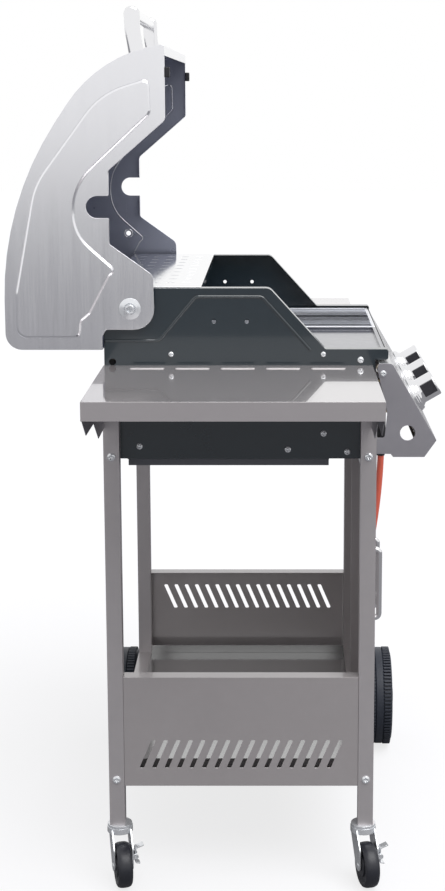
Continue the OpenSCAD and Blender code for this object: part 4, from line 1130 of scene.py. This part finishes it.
# %% Both door handles
HANDLE_BEND_MM = 9
for side in ("left", "right"):
    low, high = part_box("door_handle_" + side)
    x, wall = (low.x + high.x) / 2 / MM, high.y / MM
    r = (high.x - low.x) / 2 / MM
    out, bottom, top = low.y / MM + r, low.z / MM + r, high.z / MM - r
    corners = [(x, wall, bottom), (x, out, bottom), (x, out, top), (x, wall, top)]
    bar = bent_bar("bar_" + side, corners, r, HANDLE_BEND_MM)
    seat(give(bar, chrome), "door_" + side, "chrome", "door_handle_" + side)
    print(bar.name, "faces:", len(bar.data.polygons))

# %% [markdown]
# ## Floor and light
# A pale floor and a white surround, one large soft sun from above the user's side and an even ambient
# level. Metal shows what stands around it, so the surround is as white in reflections as it is to the
# camera, while the light on the object stays at a plain level.

# %% Floor
FLOOR_SIDE = 40
FLOOR_GREY = (0.22, 0.22, 0.235, 1)
FLOOR_WHITE_SEEN = 0.77
FLOOR_WHITE_REFLECTED = 0.06
WHITE = (1, 1, 1, 1)
bpy.ops.mesh.primitive_plane_add(size=FLOOR_SIDE, location=(0, 0, 0))
floor = bpy.context.object
floor.name = "floor"
floor_paint = bpy.data.materials.new("floor_paint")
floor_paint.use_nodes = True
floor_tree = floor_paint.node_tree
floor_tree.nodes.clear()
floor_out = add_node(floor_tree, "ShaderNodeOutputMaterial")
floor_matt = add_node(floor_tree, "ShaderNodeBsdfDiffuse", Color=FLOOR_GREY)
floor_glow = add_node(floor_tree, "ShaderNodeEmission", Color=WHITE)
floor_sum = add_node(floor_tree, "ShaderNodeAddShader")
floor_rays = add_node(floor_tree, "ShaderNodeLightPath")
floor_seen = add_node(floor_tree, "ShaderNodeMath", operation="MULTIPLY")
floor_seen.inputs[1].default_value = FLOOR_WHITE_SEEN
floor_shown = add_node(floor_tree, "ShaderNodeMath", operation="MULTIPLY_ADD")
floor_shown.inputs[1].default_value = FLOOR_WHITE_REFLECTED
floor_tree.links.new(floor_rays.outputs["Is Camera Ray"], floor_seen.inputs[0])
floor_tree.links.new(floor_rays.outputs["Is Glossy Ray"], floor_shown.inputs[0])
floor_tree.links.new(floor_seen.outputs[0], floor_shown.inputs[2])
floor_tree.links.new(floor_shown.outputs[0], floor_glow.inputs["Strength"])
floor_tree.links.new(floor_matt.outputs[0], floor_sum.inputs[0])
floor_tree.links.new(floor_glow.outputs[0], floor_sum.inputs[1])
floor_tree.links.new(floor_sum.outputs[0], floor_out.inputs["Surface"])
give(floor, floor_paint)
print("floor side m:", FLOOR_SIDE)

# %% Surround
AMBIENT = 0.56
world = bpy.data.worlds.new("surround")
scene.world = world
world.use_nodes = True
sky = world.node_tree
sky.nodes.clear()
sky_out = add_node(sky, "ShaderNodeOutputWorld")
sky_light = add_node(sky, "ShaderNodeBackground", Color=WHITE)
rays = add_node(sky, "ShaderNodeLightPath")
seen = add_node(sky, "ShaderNodeMath", operation="MAXIMUM")
seen_too = add_node(sky, "ShaderNodeMath", operation="MAXIMUM")
level = add_node(sky, "ShaderNodeMapRange")
level.inputs["To Min"].default_value = AMBIENT
level.inputs["To Max"].default_value = 1.0
sky.links.new(rays.outputs["Is Camera Ray"], seen.inputs[0])
sky.links.new(rays.outputs["Is Glossy Ray"], seen.inputs[1])
sky.links.new(seen.outputs[0], seen_too.inputs[0])
sky.links.new(rays.outputs["Is Transmission Ray"], seen_too.inputs[1])
sky.links.new(seen_too.outputs[0], level.inputs["Value"])
sky.links.new(level.outputs["Result"], sky_light.inputs["Strength"])
sky.links.new(sky_light.outputs[0], sky_out.inputs["Surface"])
print("ambient level:", AMBIENT)

# %% Sun
SUN_AT = (-1, -1, 3)
SUN_TURN = (math.radians(18), math.radians(-24), 0)
bpy.ops.object.light_add(type="SUN", location=SUN_AT, rotation=SUN_TURN)
sun = bpy.context.object
sun.data.energy = 2.1
sun.data.angle = math.radians(50)
scene.view_settings.view_transform = "Standard"
print("sun strength:", sun.data.energy)
